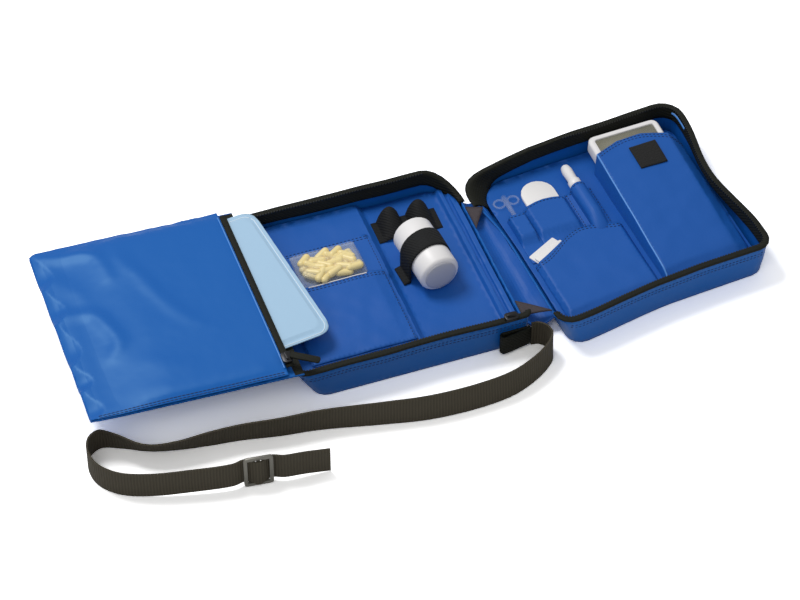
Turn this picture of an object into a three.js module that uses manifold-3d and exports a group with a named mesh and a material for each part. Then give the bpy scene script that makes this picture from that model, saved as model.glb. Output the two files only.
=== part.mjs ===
// Soft zip-round case for a blood glucose meter, lying open: a base tray, a lid tray joined to it
// by a cloth spine, an insulated pouch with a gel pack, a carrying strap and the fitted contents.
// Millimetres, +Z up. The origin is the middle of the base tray's underside.
import * as THREE from "three";
import { mergeVertices } from "three/addons/utils/BufferGeometryUtils.js";
import Module from "manifold-3d";

const wasm = await Module();
wasm.setup();

// Trays
const TRAY_WIDTH = 197;
const TRAY_DEPTH = 180;
const TRAY_HEIGHT = 35;
const CLOTH_WALL = 1.6;
const BASE_OUTER_FLARE = 18;
const BASE_SPINE_FLARE = 2;
const LID_OUTER_FLARE = 2;
const LID_SPINE_FLARE = 12;
const SIDE_FLARE = 3;
const SPINE_GAP = 20.5;
const SPINE_WALL_HEIGHT = 17;
const LID_WIDTH = 191;
const LID_DEPTH = 183;
const LID_FRONT_SHIFT = 10;
const LID_TURN = THREE.MathUtils.degToRad(5);
const LID_OUTER_SKEW = 7;
const BACK_SPINE_RADIUS = 28;
const BACK_OUTER_RADIUS = 18;
const FRONT_OUTER_RADIUS = 12;
const BASE_FRONT_SPINE_RADIUS = 5;
const LID_FRONT_SPINE_RADIUS = 14;
const BASE_BACK_RISE = 36;
const BASE_BACK_CURVE = 2.6;
const LID_BACK_CURVE = 1.6;
const LID_BACK_RISE = 84;

// Main zip
const FIT_GAP = 0.3;
const ZIP_TAPE = 1.6;
const ZIP_TAPE_DEPTH = 10;
const ZIP_BEAD = 2;
const ZIP_BEAD_OUT = 1.2;
const SLIDER_LENGTH = 11;
const SLIDER_WIDTH = 8;
const SLIDER_HEIGHT = 4;
const PULL_LENGTH = 24;
const PULL_WIDTH = 6;
const PULL_THICK = 1.6;

// Base organiser and what it carries
const BASE_PANEL_TOP = 20;
const BOTTLE_BAY_TOP = 14.5;
const BAY_FROM_SPINE = 86.5;
const BOTTLE_BAY_LEFT = TRAY_WIDTH / 2 - BAY_FROM_SPINE;
const PANEL_CLEARANCE = 0.5;
const POCKET_CLOTH = 0.8;
const BOTTLE_RADIUS = 17;
const BOTTLE_LENGTH = 34;
const BOTTLE_CAP_LENGTH = 20;
const BOTTLE_FROM_SPINE = 52;
const BOTTLE_X = TRAY_WIDTH / 2 - BOTTLE_FROM_SPINE;
const BOTTLE_FRONT_Y = -24;
const BOTTLE_TURN = THREE.MathUtils.degToRad(6);
const ELASTIC = 1.2;
const ELASTIC_WIDTH = 14;
const ELASTIC_SEAM = 5;
const SPARE_LOOP_RISE = 15;
const SPARE_LOOP_WIDTH = 20;
const BAG_WIDTH = 56;
const BAG_LENGTH = 50;
const BAG_THICK = 8.4;
const BAG_FILM = 0.5;
const CAPSULE_RADIUS = 3;
const CAPSULE_LENGTH = 18;

// Lid organiser and what it carries
const LID_PANEL_TOP = 11;
const LID_FIT_X = 0;
const LID_FIT_Y = 6;
const LID_FIT_TURN = THREE.MathUtils.degToRad(2);
const PEN_RADIUS = 5.5;
const PEN_LENGTH = 62;
const METER_WIDTH = 64;
const METER_LENGTH = 92;
const METER_THICK = 13;
const METER_TILT = THREE.MathUtils.degToRad(5);
const BUTTON_RADIUS = 5;
const BUTTON_TRAVEL = 0.8;
const BUTTON_PROUD = 0.6;
const WINDOW_WIDTH = 54;
const WINDOW_LENGTH = 26;
const SACHET_WIDTH = 30;
const SACHET_LENGTH = 44;
const SACHET_THICK = 1.6;
const TONGUE_WIDTH = 29;
const TONGUE_LENGTH = 54;
const TONGUE_THICK = 3;
const HOOK_PATCH = 24;

// Insulated pouch and gel pack
const POUCH_LENGTH = 168;
const POUCH_DEPTH = 186;
const POUCH_OFFSET_Y = 1.5;
const POUCH_CLOTH = 1.2;
const POUCH_BELLY = 34;
const POUCH_SKEW = 0.048;
const POUCH_HINGE_INSET = 8;
const POUCH_HINGE_Z = 37;
const POUCH_CORNER = 10;
const GEL_LENGTH = 128;
const GEL_WIDTH = 140;
const GEL_THICK = 4;
const GEL_CORNER = 9;
const GEL_TURN = THREE.MathUtils.degToRad(7);
const POUCH_ZIP_WIDTH = 5;

// Carrying strap
const WEBBING_WIDTH = 25;
const WEBBING_THICK = 1.4;
const GLIDE_BAR = 3;
const GLIDE_THICK = 2.2;
const GLIDE_SLOT = 7;

// Derived places
const HALF_W = TRAY_WIDTH / 2;
const HALF_D = TRAY_DEPTH / 2;
const WALL_TOP = TRAY_HEIGHT - FIT_GAP - ZIP_BEAD;
const LID_CORNER = new THREE.Vector3(HALF_W + SPINE_GAP, -HALF_D - LID_FRONT_SHIFT, 0);
const ZIP_INSET = CLOTH_WALL + FIT_GAP + ZIP_TAPE;

// Finishes
const finish = (color, roughness, metalness = 0, opacity = 1) =>
  new THREE.MeshStandardMaterial({ color, roughness, metalness, opacity, transparent: opacity < 1 });
const nylon = () => finish(0x2258b4, 0.45);
const lining = () => finish(0x1f55b5, 0.6);
const spineCloth = () => finish(0x23407f, 0.7);
const zipBlack = () => finish(0x20231c, 0.75);
const webbing = () => finish(0x34342a, 0.85);
const whitePlastic = () => finish(0xeceae8, 0.4);
const darkMetal = () => finish(0x4a4a44, 0.4, 0.8);
const clearFilm = () => finish(0xe6e8ea, 0.15, 0, 0.4);

function addPart(group, name, geometry, material) {
  const mesh = new THREE.Mesh(geometry, material);
  mesh.name = name;
  group.add(mesh);
  return mesh;
}

// A closed triangle mesh; its faces are turned round if they enclose a negative volume.
function closedGeometry(points, faces) {
  let volume = 0;
  for (const [a, b, c] of faces) volume += points[a].dot(points[b].clone().cross(points[c]));
  const wound = volume < 0 ? faces.map(([a, b, c]) => [a, c, b]) : faces;
  const geometry = new THREE.BufferGeometry().setFromPoints(points);
  geometry.setIndex(wound.flat());
  geometry.computeVertexNormals();
  return geometry;
}

function solidOf(geometry) {
  const bare = geometry.clone();
  bare.deleteAttribute("normal");
  bare.deleteAttribute("uv");
  const merged = mergeVertices(bare, 1e-4);
  return new wasm.Manifold(
    new wasm.Mesh({
      numProp: 3,
      vertProperties: new Float32Array(merged.attributes.position.array),
      triVerts: new Uint32Array(merged.index.array),
    }),
  );
}

function geometryOf(solid) {
  const mesh = solid.getMesh();
  const geometry = new THREE.BufferGeometry();
  geometry.setAttribute("position", new THREE.BufferAttribute(mesh.vertProperties.slice(), 3));
  geometry.setIndex(new THREE.BufferAttribute(mesh.triVerts.slice(), 1));
  geometry.computeVertexNormals();
  return geometry;
}

const subtract = (body, ...tools) =>
  geometryOf(tools.reduce((left, tool) => left.subtract(solidOf(tool)), solidOf(body)));
const join = (...bodies) =>
  geometryOf(bodies.slice(1).reduce((sum, body) => sum.add(solidOf(body)), solidOf(bodies[0])));

// Skin between equal rings of points, closed at both ends; outline2D is one ring drawn flat.
function loft(rings, outline2D) {
  const count = rings[0].length;
  const faces = [];
  for (let r = 0; r + 1 < rings.length; r++)
    for (let i = 0; i < count; i++) {
      const j = (i + 1) % count;
      const [a, b] = [r * count, (r + 1) * count];
      faces.push([a + i, a + j, b + j], [a + i, b + j, b + i]);
    }
  const last = (rings.length - 1) * count;
  const clockwise = THREE.ShapeUtils.isClockWise(outline2D);
  for (const [a, p, q] of THREE.ShapeUtils.triangulateShape(outline2D, [])) {
    const [b, c] = clockwise ? [q, p] : [p, q];
    faces.push([a, c, b], [last + a, last + b, last + c]);
  }
  return closedGeometry(rings.flat(), faces);
}

const flatRing = (points, z) => points.map((p) => new THREE.Vector3(p.x, p.y, z));

// An outline in X and Y, raised from z by height.
function slab(outline, z, height) {
  const geometry = new THREE.ExtrudeGeometry(new THREE.Shape(outline), {
    depth: height,
    bevelEnabled: false,
  });
  return geometry.translate(0, 0, z);
}

// An outline in X and Z, drawn along Y from front to back.
function profileAlongY(outline, front, back) {
  const geometry = new THREE.ExtrudeGeometry(new THREE.Shape(outline), {
    depth: back - front,
    bevelEnabled: false,
  });
  return geometry.rotateX(Math.PI / 2).translate(0, back, 0);
}

const flat = (pairs) => pairs.map(([x, y]) => new THREE.Vector2(x, y));

function arc(cx, cy, radius, from, to, steps) {
  return Array.from({ length: steps + 1 }, (_, i) => {
    const angle = from + ((to - from) * i) / steps;
    return new THREE.Vector2(cx + radius * Math.cos(angle), cy + radius * Math.sin(angle));
  });
}

function roundedRect(x0, x1, y0, y1, radius, steps = 4) {
  const q = Math.PI / 2;
  return [
    ...arc(x1 - radius, y0 + radius, radius, -q, 0, steps),
    ...arc(x1 - radius, y1 - radius, radius, 0, q, steps),
    ...arc(x0 + radius, y1 - radius, radius, q, 2 * q, steps),
    ...arc(x0 + radius, y0 + radius, radius, 2 * q, 3 * q, steps),
  ];
}

// A sheet of cloth of even thickness over a grid: place(s, t) gives each point of its lower face.
function sheet(columns, rows, place, thickness) {
  const [nx, ny] = [columns.length, rows.length];
  const lower = rows.flatMap((t) => columns.map((s) => place(s, t)));
  const upper = lower.map((p) => p.clone().add(new THREE.Vector3(0, 0, thickness)));
  return gridSolid(lower, upper, nx, ny);
}

// A solid between two grids of nx by ny points that face each other.
function gridSolid(lower, upper, nx, ny) {
  const top = nx * ny;
  const faces = [];
  for (let j = 0; j + 1 < ny; j++)
    for (let i = 0; i + 1 < nx; i++) {
      const [a, b, c, d] = [j * nx + i, j * nx + i + 1, (j + 1) * nx + i + 1, (j + 1) * nx + i];
      faces.push([a, c, b], [a, d, c], [top + a, top + b, top + c], [top + a, top + c, top + d]);
    }
  const edge = [];
  for (let i = 0; i + 1 < nx; i++) edge.push(i);
  for (let j = 0; j + 1 < ny; j++) edge.push(j * nx + nx - 1);
  for (let i = nx - 1; i > 0; i--) edge.push((ny - 1) * nx + i);
  for (let j = ny - 1; j > 0; j--) edge.push(j * nx);
  edge.forEach((a, k) => {
    const b = edge[(k + 1) % edge.length];
    faces.push([a, b, top + b], [a, top + b, top + a]);
  });
  return closedGeometry([...lower, ...upper], faces);
}

const range = (from, to, steps) =>
  Array.from({ length: steps + 1 }, (_, i) => from + ((to - from) * i) / steps);
const lerp = THREE.MathUtils.lerp;
const smooth = (x, from, to) => THREE.MathUtils.smoothstep(x, from, to);

// One tray's outline at the rim and at the foot, as matching stations that start at the front of
// the spine side and run round the back. side is +1 where the spine is on the right.
function trayStations(tray) {
  const [halfW, halfD] = [tray.width / 2, tray.depth / 2];
  const radii = [BACK_SPINE_RADIUS, BACK_OUTER_RADIUS, FRONT_OUTER_RADIUS, tray.frontSpineRadius];
  const rim = stationRing(-halfW, halfW, halfD, radii);
  const foot = stationRing(-halfW + tray.outerFlare, halfW - tray.spineFlare, halfD - SIDE_FLARE, radii);
  // The outer edge may run slightly askew, most at the back.
  const skewed = (p) => p.x - (tray.outerSkew * (p.y + halfD) * (halfW - p.x)) / (4 * halfD * halfW);
  return rim.map((station, i) => {
    const fromSpine = halfW - station.x;
    const low = station.y > 0 ? Math.max(0, 1 - fromSpine / tray.backRise) : 0;
    const rise = (WALL_TOP - SPINE_WALL_HEIGHT) * (1 - low ** tray.backCurve);
    return {
      rim: new THREE.Vector3(tray.side * skewed(station), station.y, TRAY_HEIGHT),
      foot: new THREE.Vector3(tray.side * skewed(foot[i]), foot[i].y, 0),
      out: new THREE.Vector3(tray.side * station.nx, station.ny, 0),
      spine: station.spine,
      top: station.spine ? SPINE_WALL_HEIGHT : SPINE_WALL_HEIGHT + rise,
    };
  });
}

function stationRing(x0, x1, halfDepth, [backSpine, backOuter, frontOuter, frontSpine]) {
  const ring = [];
  const straight = (ax, ay, bx, by, nx, ny, shares, spine) =>
    shares.forEach((f) => ring.push({ x: lerp(ax, bx, f), y: lerp(ay, by, f), nx, ny, spine }));
  const corner = (cx, cy, radius, from, steps) => {
    for (let i = 0; i <= steps; i++) {
      const angle = from + ((Math.PI / 2) * i) / steps;
      const [nx, ny] = [Math.cos(angle), Math.sin(angle)];
      ring.push({ x: cx + radius * nx, y: cy + radius * ny, nx, ny, spine: false });
    }
  };
  const [front, back] = [-halfDepth, halfDepth];
  straight(x1, front + frontSpine, x1, back - backSpine, 1, 0, [0.06, 0.5, 0.94], true);
  corner(x1 - backSpine, back - backSpine, backSpine, 0, 7);
  straight(x1 - backSpine, back, x0 + backOuter, back, 0, 1, [0.1, 0.22, 0.5, 0.75], false);
  corner(x0 + backOuter, back - backOuter, backOuter, Math.PI / 2, 5);
  straight(x0, back - backOuter, x0, front + frontOuter, -1, 0, [0.33, 0.67], false);
  corner(x0 + frontOuter, front + frontOuter, frontOuter, Math.PI, 4);
  straight(x0 + frontOuter, front, x1 - frontSpine, front, 0, -1, [0.25, 0.5, 0.78, 0.9], false);
  corner(x1 - frontSpine, front + frontSpine, frontSpine, 1.5 * Math.PI, 4);
  return ring;
}

// A point of a tray's outer face at height z, moved inwards by inset.
const facePoint = (station, z, inset = 0) =>
  station.foot
    .clone()
    .lerp(station.rim, z / TRAY_HEIGHT)
    .addScaledVector(station.out, -inset)
    .setZ(z);

// The sewn cloth tray: a floor and flared walls that fall away to a low wall at the spine.
function trayShell(stations) {
  const count = stations.length;
  const rings = [
    stations.map((s) => facePoint(s, 0)),
    stations.map((s) => facePoint(s, s.top)),
    stations.map((s) => facePoint(s, s.top, CLOTH_WALL)),
    stations.map((s) => facePoint(s, CLOTH_WALL, CLOTH_WALL)),
  ];
  return loft(rings, rings[0].map((p) => new THREE.Vector2(p.x, p.y)).slice(0, count));
}

// Half of the main zip: a tape inside the wall with its bead of teeth on the rim.
function zipTape(stations) {
  const inner = -ZIP_INSET;
  const tapeOut = -CLOTH_WALL - FIT_GAP;
  const top = FIT_GAP + ZIP_BEAD;
  const section = flat([
    [inner, -ZIP_TAPE_DEPTH],
    [tapeOut, -ZIP_TAPE_DEPTH],
    [tapeOut, FIT_GAP],
    [ZIP_BEAD_OUT, FIT_GAP],
    [ZIP_BEAD_OUT, top - 0.7],
    [ZIP_BEAD_OUT - 0.7, top],
    [inner, top],
  ]);
  const rings = stations
    .filter((s) => !s.spine)
    .map((s) => {
      const up = s.rim.clone().sub(s.foot).normalize();
      const start = facePoint(s, s.top);
      return section.map((q) => start.clone().addScaledVector(s.out, q.x).addScaledVector(up, q.y));
    });
  return loft(rings, section);
}

// The padded organiser that fills the tray up to a given height.
function panelPlug(stations, top) {
  const inset = ZIP_INSET + PANEL_CLEARANCE;
  const rings = [CLOTH_WALL + FIT_GAP, top].map((z) => stations.map((s) => facePoint(s, z, inset)));
  return loft(rings, rings[0].map((p) => new THREE.Vector2(p.x, p.y)));
}

// A band of elastic or cloth sewn down either side of a round piece, seen from its end.
function bandOver(radius, x, centreZ, seatZ, thickness, seam) {
  const [inner, outer] = [radius, radius + thickness];
  const drop = centreZ - seatZ;
  return [
    new THREE.Vector2(x + outer + seam, seatZ),
    new THREE.Vector2(x + outer + seam, seatZ + thickness),
    new THREE.Vector2(x + outer, seatZ + thickness + Math.min(1, drop)),
    ...arc(x, centreZ, outer, 0, Math.PI, 14),
    new THREE.Vector2(x - outer, seatZ + thickness + Math.min(1, drop)),
    new THREE.Vector2(x - outer - seam, seatZ + thickness),
    new THREE.Vector2(x - outer - seam, seatZ),
    new THREE.Vector2(x - inner, seatZ),
    ...arc(x, centreZ, inner, Math.PI, 0, 14),
    new THREE.Vector2(x + inner, seatZ),
  ];
}

// Base tray
const model = new THREE.Group();
const base = new THREE.Group();
model.add(base);

const baseStations = trayStations({
  side: 1,
  width: TRAY_WIDTH,
  depth: TRAY_DEPTH,
  outerSkew: 0,
  outerFlare: BASE_OUTER_FLARE,
  spineFlare: BASE_SPINE_FLARE,
  frontSpineRadius: BASE_FRONT_SPINE_RADIUS,
  backRise: BASE_BACK_RISE,
  backCurve: BASE_BACK_CURVE,
});
addPart(base, "base_shell", trayShell(baseStations), nylon());
addPart(base, "base_zip_tape", zipTape(baseStations), zipBlack());

// The organiser drops into a bay for the bottle and ends in two sewn ridges beside the spine.
const ridgeRight = HALF_W - BASE_SPINE_FLARE - ZIP_INSET - PANEL_CLEARANCE;
const bayCut = profileAlongY(
  flat([
    [BOTTLE_BAY_LEFT, BASE_PANEL_TOP + 1],
    [BOTTLE_BAY_LEFT, BASE_PANEL_TOP - 0.5],
    [BOTTLE_BAY_LEFT + 5, BOTTLE_BAY_TOP],
    [ridgeRight - 12, BOTTLE_BAY_TOP],
    [ridgeRight - 10, BOTTLE_BAY_TOP + 3.5],
    [ridgeRight - 7, BOTTLE_BAY_TOP + 3.5],
    [ridgeRight - 6, BOTTLE_BAY_TOP + 1],
    [ridgeRight - 4, BOTTLE_BAY_TOP + 1],
    [ridgeRight - 3, BOTTLE_BAY_TOP + 3],
    [HALF_W, BOTTLE_BAY_TOP + 3],
    [HALF_W, BASE_PANEL_TOP + 1],
  ]),
  -HALF_D,
  HALF_D,
);
addPart(base, "base_panel", subtract(panelPlug(baseStations, BASE_PANEL_TOP), bayCut), lining());

// Two flat pockets, one over the other, with the tablet bag tucked between them.
const POCKET_SIDE = 20.5;
const POCKET_END = 16;
const POCKET_LEFT = -HALF_W + POCKET_SIDE;
const POCKET_RIGHT = BOTTLE_BAY_LEFT - 2;
const POCKET_FRONT = -HALF_D + POCKET_END;
const UPPER_POCKET_BACK = 50;
const LOWER_POCKET_BACK = 6;
const upperPocketZ = BASE_PANEL_TOP + FIT_GAP;
const bagZ = upperPocketZ + POCKET_CLOTH + FIT_GAP;
const BAG_TUCK = 12;
const BAG_TUCK_THICK = 2;
const lowerPocketZ = bagZ + BAG_TUCK_THICK + FIT_GAP;
addPart(
  base,
  "base_pocket_upper",
  slab(roundedRect(POCKET_LEFT, POCKET_RIGHT, POCKET_FRONT, UPPER_POCKET_BACK, 3), upperPocketZ, POCKET_CLOTH),
  lining(),
);
const pocketEdgeZ = upperPocketZ + POCKET_CLOTH + FIT_GAP;
addPart(
  base,
  "base_pocket_lower",
  sheet(
    [0, 0.12, 0.3, 0.5, 0.7, 0.88, 1],
    [0, 0.2, 0.6, 1],
    (s, t) => {
      const side = smooth(s, 0, 0.14) * smooth(1 - s, 0, 0.14) * smooth(t, 0, 0.3);
      return new THREE.Vector3(
        lerp(POCKET_LEFT + 1, POCKET_RIGHT - 1, s),
        lerp(POCKET_FRONT + 1, LOWER_POCKET_BACK, t),
        lerp(pocketEdgeZ, lowerPocketZ, side),
      );
    },
    POCKET_CLOTH,
  ),
  lining(),
);

// Clear bag, open at its top edge, over a single layer of capsules.
const BAG_X = (POCKET_LEFT + POCKET_RIGHT) / 2 + 2.5;
const bagFront = LOWER_POCKET_BACK - BAG_TUCK;
const bagStations = [
  [0, BAG_TUCK_THICK],
  [BAG_TUCK + 1, BAG_TUCK_THICK],
  [BAG_TUCK + 7, BAG_THICK],
  [BAG_LENGTH - 12, BAG_THICK],
  [BAG_LENGTH - 4, 3],
  [BAG_LENGTH, 2],
];
function lens(halfWidth, y, z, thickness) {
  const edge = Math.min(4, thickness);
  return [
    [-halfWidth, 0],
    [halfWidth, 0],
    [halfWidth, 0.4 * thickness],
    [halfWidth - edge, thickness],
    [-halfWidth + edge, thickness],
    [-halfWidth, 0.4 * thickness],
  ].map(([x, h]) => new THREE.Vector3(BAG_X + x, y, z + h));
}
const bagOuter = bagStations.map(([y, h]) => lens(BAG_WIDTH / 2, bagFront + y, bagZ, h));
const bagInner = bagStations.map(([y, h], i) => {
  const past = i === 0 ? BAG_FILM : i === bagStations.length - 1 ? 1 : 0;
  return lens(BAG_WIDTH / 2 - BAG_FILM, bagFront + y + past, bagZ + BAG_FILM, h - 2 * BAG_FILM);
});
const lensOutline = (ring) => ring.map((p) => new THREE.Vector2(p.x, p.z));
addPart(
  base,
  "tablet_bag",
  subtract(loft(bagOuter, lensOutline(bagOuter[2])), loft(bagInner, lensOutline(bagInner[2]))),
  clearFilm(),
);
const capsuleZ = bagZ + BAG_FILM + FIT_GAP + CAPSULE_RADIUS;
const capsuleMiddle = bagFront + (BAG_TUCK + BAG_LENGTH) / 2 - 2.5;
const CAPSULE_SPREAD = 19;
const capsules = range(-1, 1, 7).map((f, i) => {
  const pill = new THREE.CapsuleGeometry(CAPSULE_RADIUS, CAPSULE_LENGTH - 2 * CAPSULE_RADIUS, 2, 7);
  pill.rotateZ(0.25 * Math.sin(2.3 * i));
  return pill.translate(BAG_X + f * CAPSULE_SPREAD, capsuleMiddle + 1.5 * Math.cos(1.7 * i), capsuleZ);
});
addPart(base, "capsules", join(...capsules), finish(0xf0d68a, 0.35));

// Bottle under its elastic, and the empty elastic loops behind it.
const bottleZ = BOTTLE_BAY_TOP + FIT_GAP + BOTTLE_RADIUS;
const seatZ = BOTTLE_BAY_TOP + FIT_GAP;
const bottleGroup = new THREE.Group();
bottleGroup.position.set(BOTTLE_X, BOTTLE_FRONT_Y, bottleZ);
bottleGroup.rotation.z = BOTTLE_TURN;
base.add(bottleGroup);
const bandFront = BOTTLE_CAP_LENGTH + 2;
addPart(
  bottleGroup,
  "bottle_elastic",
  profileAlongY(
    bandOver(BOTTLE_RADIUS + FIT_GAP, 0, 0, seatZ - bottleZ, ELASTIC, ELASTIC_SEAM),
    bandFront,
    bandFront + ELASTIC_WIDTH,
  ),
  zipBlack(),
);
const LOOPS_BEHIND = 20;
const loopsFront = BOTTLE_FRONT_Y + BOTTLE_CAP_LENGTH + BOTTLE_LENGTH + LOOPS_BEHIND;
const loopLeft = BOTTLE_BAY_LEFT + 6;
const LOOP_SEAM = 5;
const loopLine = range(0, 1, 24).map((f) => {
  const along = f * (2 * SPARE_LOOP_WIDTH + 3 * LOOP_SEAM);
  const place = along % (SPARE_LOOP_WIDTH + LOOP_SEAM);
  const inLoop = THREE.MathUtils.clamp((place - LOOP_SEAM) / SPARE_LOOP_WIDTH, 0, 1);
  return new THREE.Vector2(loopLeft + along, seatZ + SPARE_LOOP_RISE * Math.sin(Math.PI * inLoop) ** 0.7);
});
const loopOutline = [
  ...loopLine,
  ...loopLine.map((p) => new THREE.Vector2(p.x, p.y + ELASTIC)).reverse(),
];
addPart(
  base,
  "spare_elastic_loops",
  profileAlongY(loopOutline, loopsFront, loopsFront + ELASTIC_WIDTH),
  zipBlack(),
);

// A turned piece along Y, from pairs of distance along the axis and radius.
function turned(pairs, segments) {
  const profile = pairs.map(([along, radius]) => new THREE.Vector2(radius, along));
  return new THREE.LatheGeometry(profile, segments);
}
const bottleStart = BOTTLE_CAP_LENGTH + FIT_GAP;
const bottleEnd = bottleStart + BOTTLE_LENGTH;
const NECK_RADIUS = BOTTLE_RADIUS - 3;
const NECK_LENGTH = 12;
addPart(
  bottleGroup,
  "bottle_body",
  turned(
    [
      [bottleStart - NECK_LENGTH, 0],
      [bottleStart - NECK_LENGTH, NECK_RADIUS],
      [bottleStart, NECK_RADIUS],
      [bottleStart, BOTTLE_RADIUS - 1],
      [bottleStart + 1, BOTTLE_RADIUS],
      [bottleEnd - 3, BOTTLE_RADIUS],
      [bottleEnd - 0.8, BOTTLE_RADIUS - 1],
      [bottleEnd, BOTTLE_RADIUS - 3.5],
      [bottleEnd, 0],
    ],
    24,
  ),
  whitePlastic(),
);
addPart(
  bottleGroup,
  "bottle_cap",
  turned(
    [
      [0.8, 0],
      [0.8, BOTTLE_RADIUS - 5],
      [0, BOTTLE_RADIUS - 4],
      [1, BOTTLE_RADIUS - 1.2],
      [3, BOTTLE_RADIUS],
      [BOTTLE_CAP_LENGTH, BOTTLE_RADIUS],
      [BOTTLE_CAP_LENGTH, NECK_RADIUS + FIT_GAP],
      [bottleStart - NECK_LENGTH - FIT_GAP, NECK_RADIUS + FIT_GAP],
      [bottleStart - NECK_LENGTH - FIT_GAP, 0],
    ],
    24,
  ),
  finish(0xd9dade, 0.35),
);

// The lid tray lies beside the base, turned slightly about its front corner at the spine.
const lidStations = trayStations({
  side: -1,
  width: LID_WIDTH,
  depth: LID_DEPTH,
  outerSkew: LID_OUTER_SKEW,
  outerFlare: LID_OUTER_FLARE,
  spineFlare: LID_SPINE_FLARE,
  frontSpineRadius: LID_FRONT_SPINE_RADIUS,
  backRise: LID_BACK_RISE,
  backCurve: LID_BACK_CURVE,
});
const lidGroup = new THREE.Group();
lidGroup.position.set(LID_WIDTH / 2, LID_DEPTH / 2, 0);
lidGroup.position.applyAxisAngle(new THREE.Vector3(0, 0, 1), LID_TURN).add(LID_CORNER);
lidGroup.rotation.z = LID_TURN;
model.add(lidGroup);
lidGroup.updateMatrixWorld(true);

// Cloth spine and its gussets, between the low walls of the two trays.
const SPINE_CLOTH = 1.2;
const SPINE_SAG = 8;
const SPINE_MARGIN = 9;
const spineTop = SPINE_WALL_HEIGHT - 1.5;
const spineFrom = HALF_W - BASE_SPINE_FLARE * (1 - spineTop / TRAY_HEIGHT) + FIT_GAP;
const lidSpine = lidStations.filter((s) => s.spine).map((s) => lidGroup.localToWorld(facePoint(s, spineTop)));
const [lidSpineFront, lidSpineBack] = [lidSpine[0], lidSpine[lidSpine.length - 1]];
const spineTo = (y) => {
  const share = (y - lidSpineFront.y) / (lidSpineBack.y - lidSpineFront.y);
  return lerp(lidSpineFront.x, lidSpineBack.x, share) - 2 * FIT_GAP;
};
addPart(
  base,
  "spine_panel",
  sheet(
    range(0, 1, 8),
    range(0, 1, 4),
    (s, t) => {
      const y = lerp(-HALF_D + SPINE_MARGIN, HALF_D - BACK_SPINE_RADIUS, t);
      const sag = SPINE_SAG * Math.sin(Math.PI * s) * (1 - 0.6 * t);
      return new THREE.Vector3(lerp(spineFrom, spineTo(y), s), y, spineTop - SPINE_CLOTH - sag);
    },
    SPINE_CLOTH,
  ),
  spineCloth(),
);
function gusset(corners) {
  const outline = corners.map((p) => new THREE.Vector2(p.x, p.y));
  const lift = new THREE.Vector3(0, 0, SPINE_CLOTH);
  return loft([corners, corners.map((p) => p.clone().add(lift))], outline);
}
const gussetZ = SPINE_WALL_HEIGHT + FIT_GAP;
const gussetLeft = HALF_W - CLOTH_WALL;
const gussetTip = (y) => new THREE.Vector3(spineTo(y) - 2, y, gussetZ + 1);
addPart(
  base,
  "gusset_front",
  gusset([
    new THREE.Vector3(gussetLeft, -HALF_D + 16, gussetZ),
    gussetTip(-HALF_D + 12),
    new THREE.Vector3(gussetLeft, -HALF_D + 32, gussetZ),
  ]),
  zipBlack(),
);
addPart(
  base,
  "gusset_back",
  gusset([
    new THREE.Vector3(gussetLeft, HALF_D - 62, gussetZ),
    gussetTip(HALF_D - 42),
    new THREE.Vector3(gussetLeft, HALF_D - BACK_SPINE_RADIUS - 8, gussetZ),
  ]),
  finish(0x4b4a52, 0.8),
);

// A zip slider with its bridge, centred on the origin and resting on z = 0.
function zipSlider() {
  const plan = roundedRect(-SLIDER_WIDTH / 2, SLIDER_WIDTH / 2, -SLIDER_LENGTH / 2, SLIDER_LENGTH / 2, 2.5, 3);
  const bridge = new THREE.BoxGeometry(2, SLIDER_LENGTH - 4, 2.4);
  bridge.translate(0, 0, SLIDER_HEIGHT - 1.2);
  return join(slab(plan, 0, SLIDER_HEIGHT - 1.6), bridge);
}
// A pull tab that lies along +X from the slider's bridge.
function zipPull() {
  const tab = roundedRect(0, PULL_LENGTH, -PULL_WIDTH / 2, PULL_WIDTH / 2, 2, 3);
  return slab(tab, 0, PULL_THICK);
}
// The main slider is parked clear of the place where the closed lid's corner comes down.
const SLIDER_PARK = 17;
const mainSlider = new THREE.Group();
mainSlider.position.set(HALF_W - SLIDER_PARK, -HALF_D + (ZIP_INSET - ZIP_BEAD_OUT) / 2, TRAY_HEIGHT + FIT_GAP);
mainSlider.rotation.z = Math.PI / 2;
base.add(mainSlider);
addPart(mainSlider, "main_zip_slider", zipSlider(), darkMetal());

// The pouch's hinge tape, sewn inside the outer wall of the base.
const outerFaceX = (z) => -HALF_W + BASE_OUTER_FLARE * (1 - z / TRAY_HEIGHT);
const HINGE_TAPE = 1;
const HINGE_TAPE_LOW = 24;
const hingeTapeTop = POUCH_HINGE_Z - POUCH_CLOTH;
const tapeX = (z) => outerFaceX(z) + ZIP_INSET + 1.6 * FIT_GAP;
const hingeX = -HALF_W + POUCH_HINGE_INSET;
addPart(
  base,
  "pouch_hinge_tape",
  profileAlongY(
    flat([
      [tapeX(HINGE_TAPE_LOW), HINGE_TAPE_LOW],
      [tapeX(HINGE_TAPE_LOW) + HINGE_TAPE, HINGE_TAPE_LOW],
      [hingeX + HINGE_TAPE / 2, hingeTapeTop - 0.5],
      [hingeX - HINGE_TAPE / 2, hingeTapeTop - 0.5],
    ]),
    -HALF_D + FRONT_OUTER_RADIUS + 2,
    HALF_D - BACK_OUTER_RADIUS - 2,
  ),
  nylon(),
);

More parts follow.
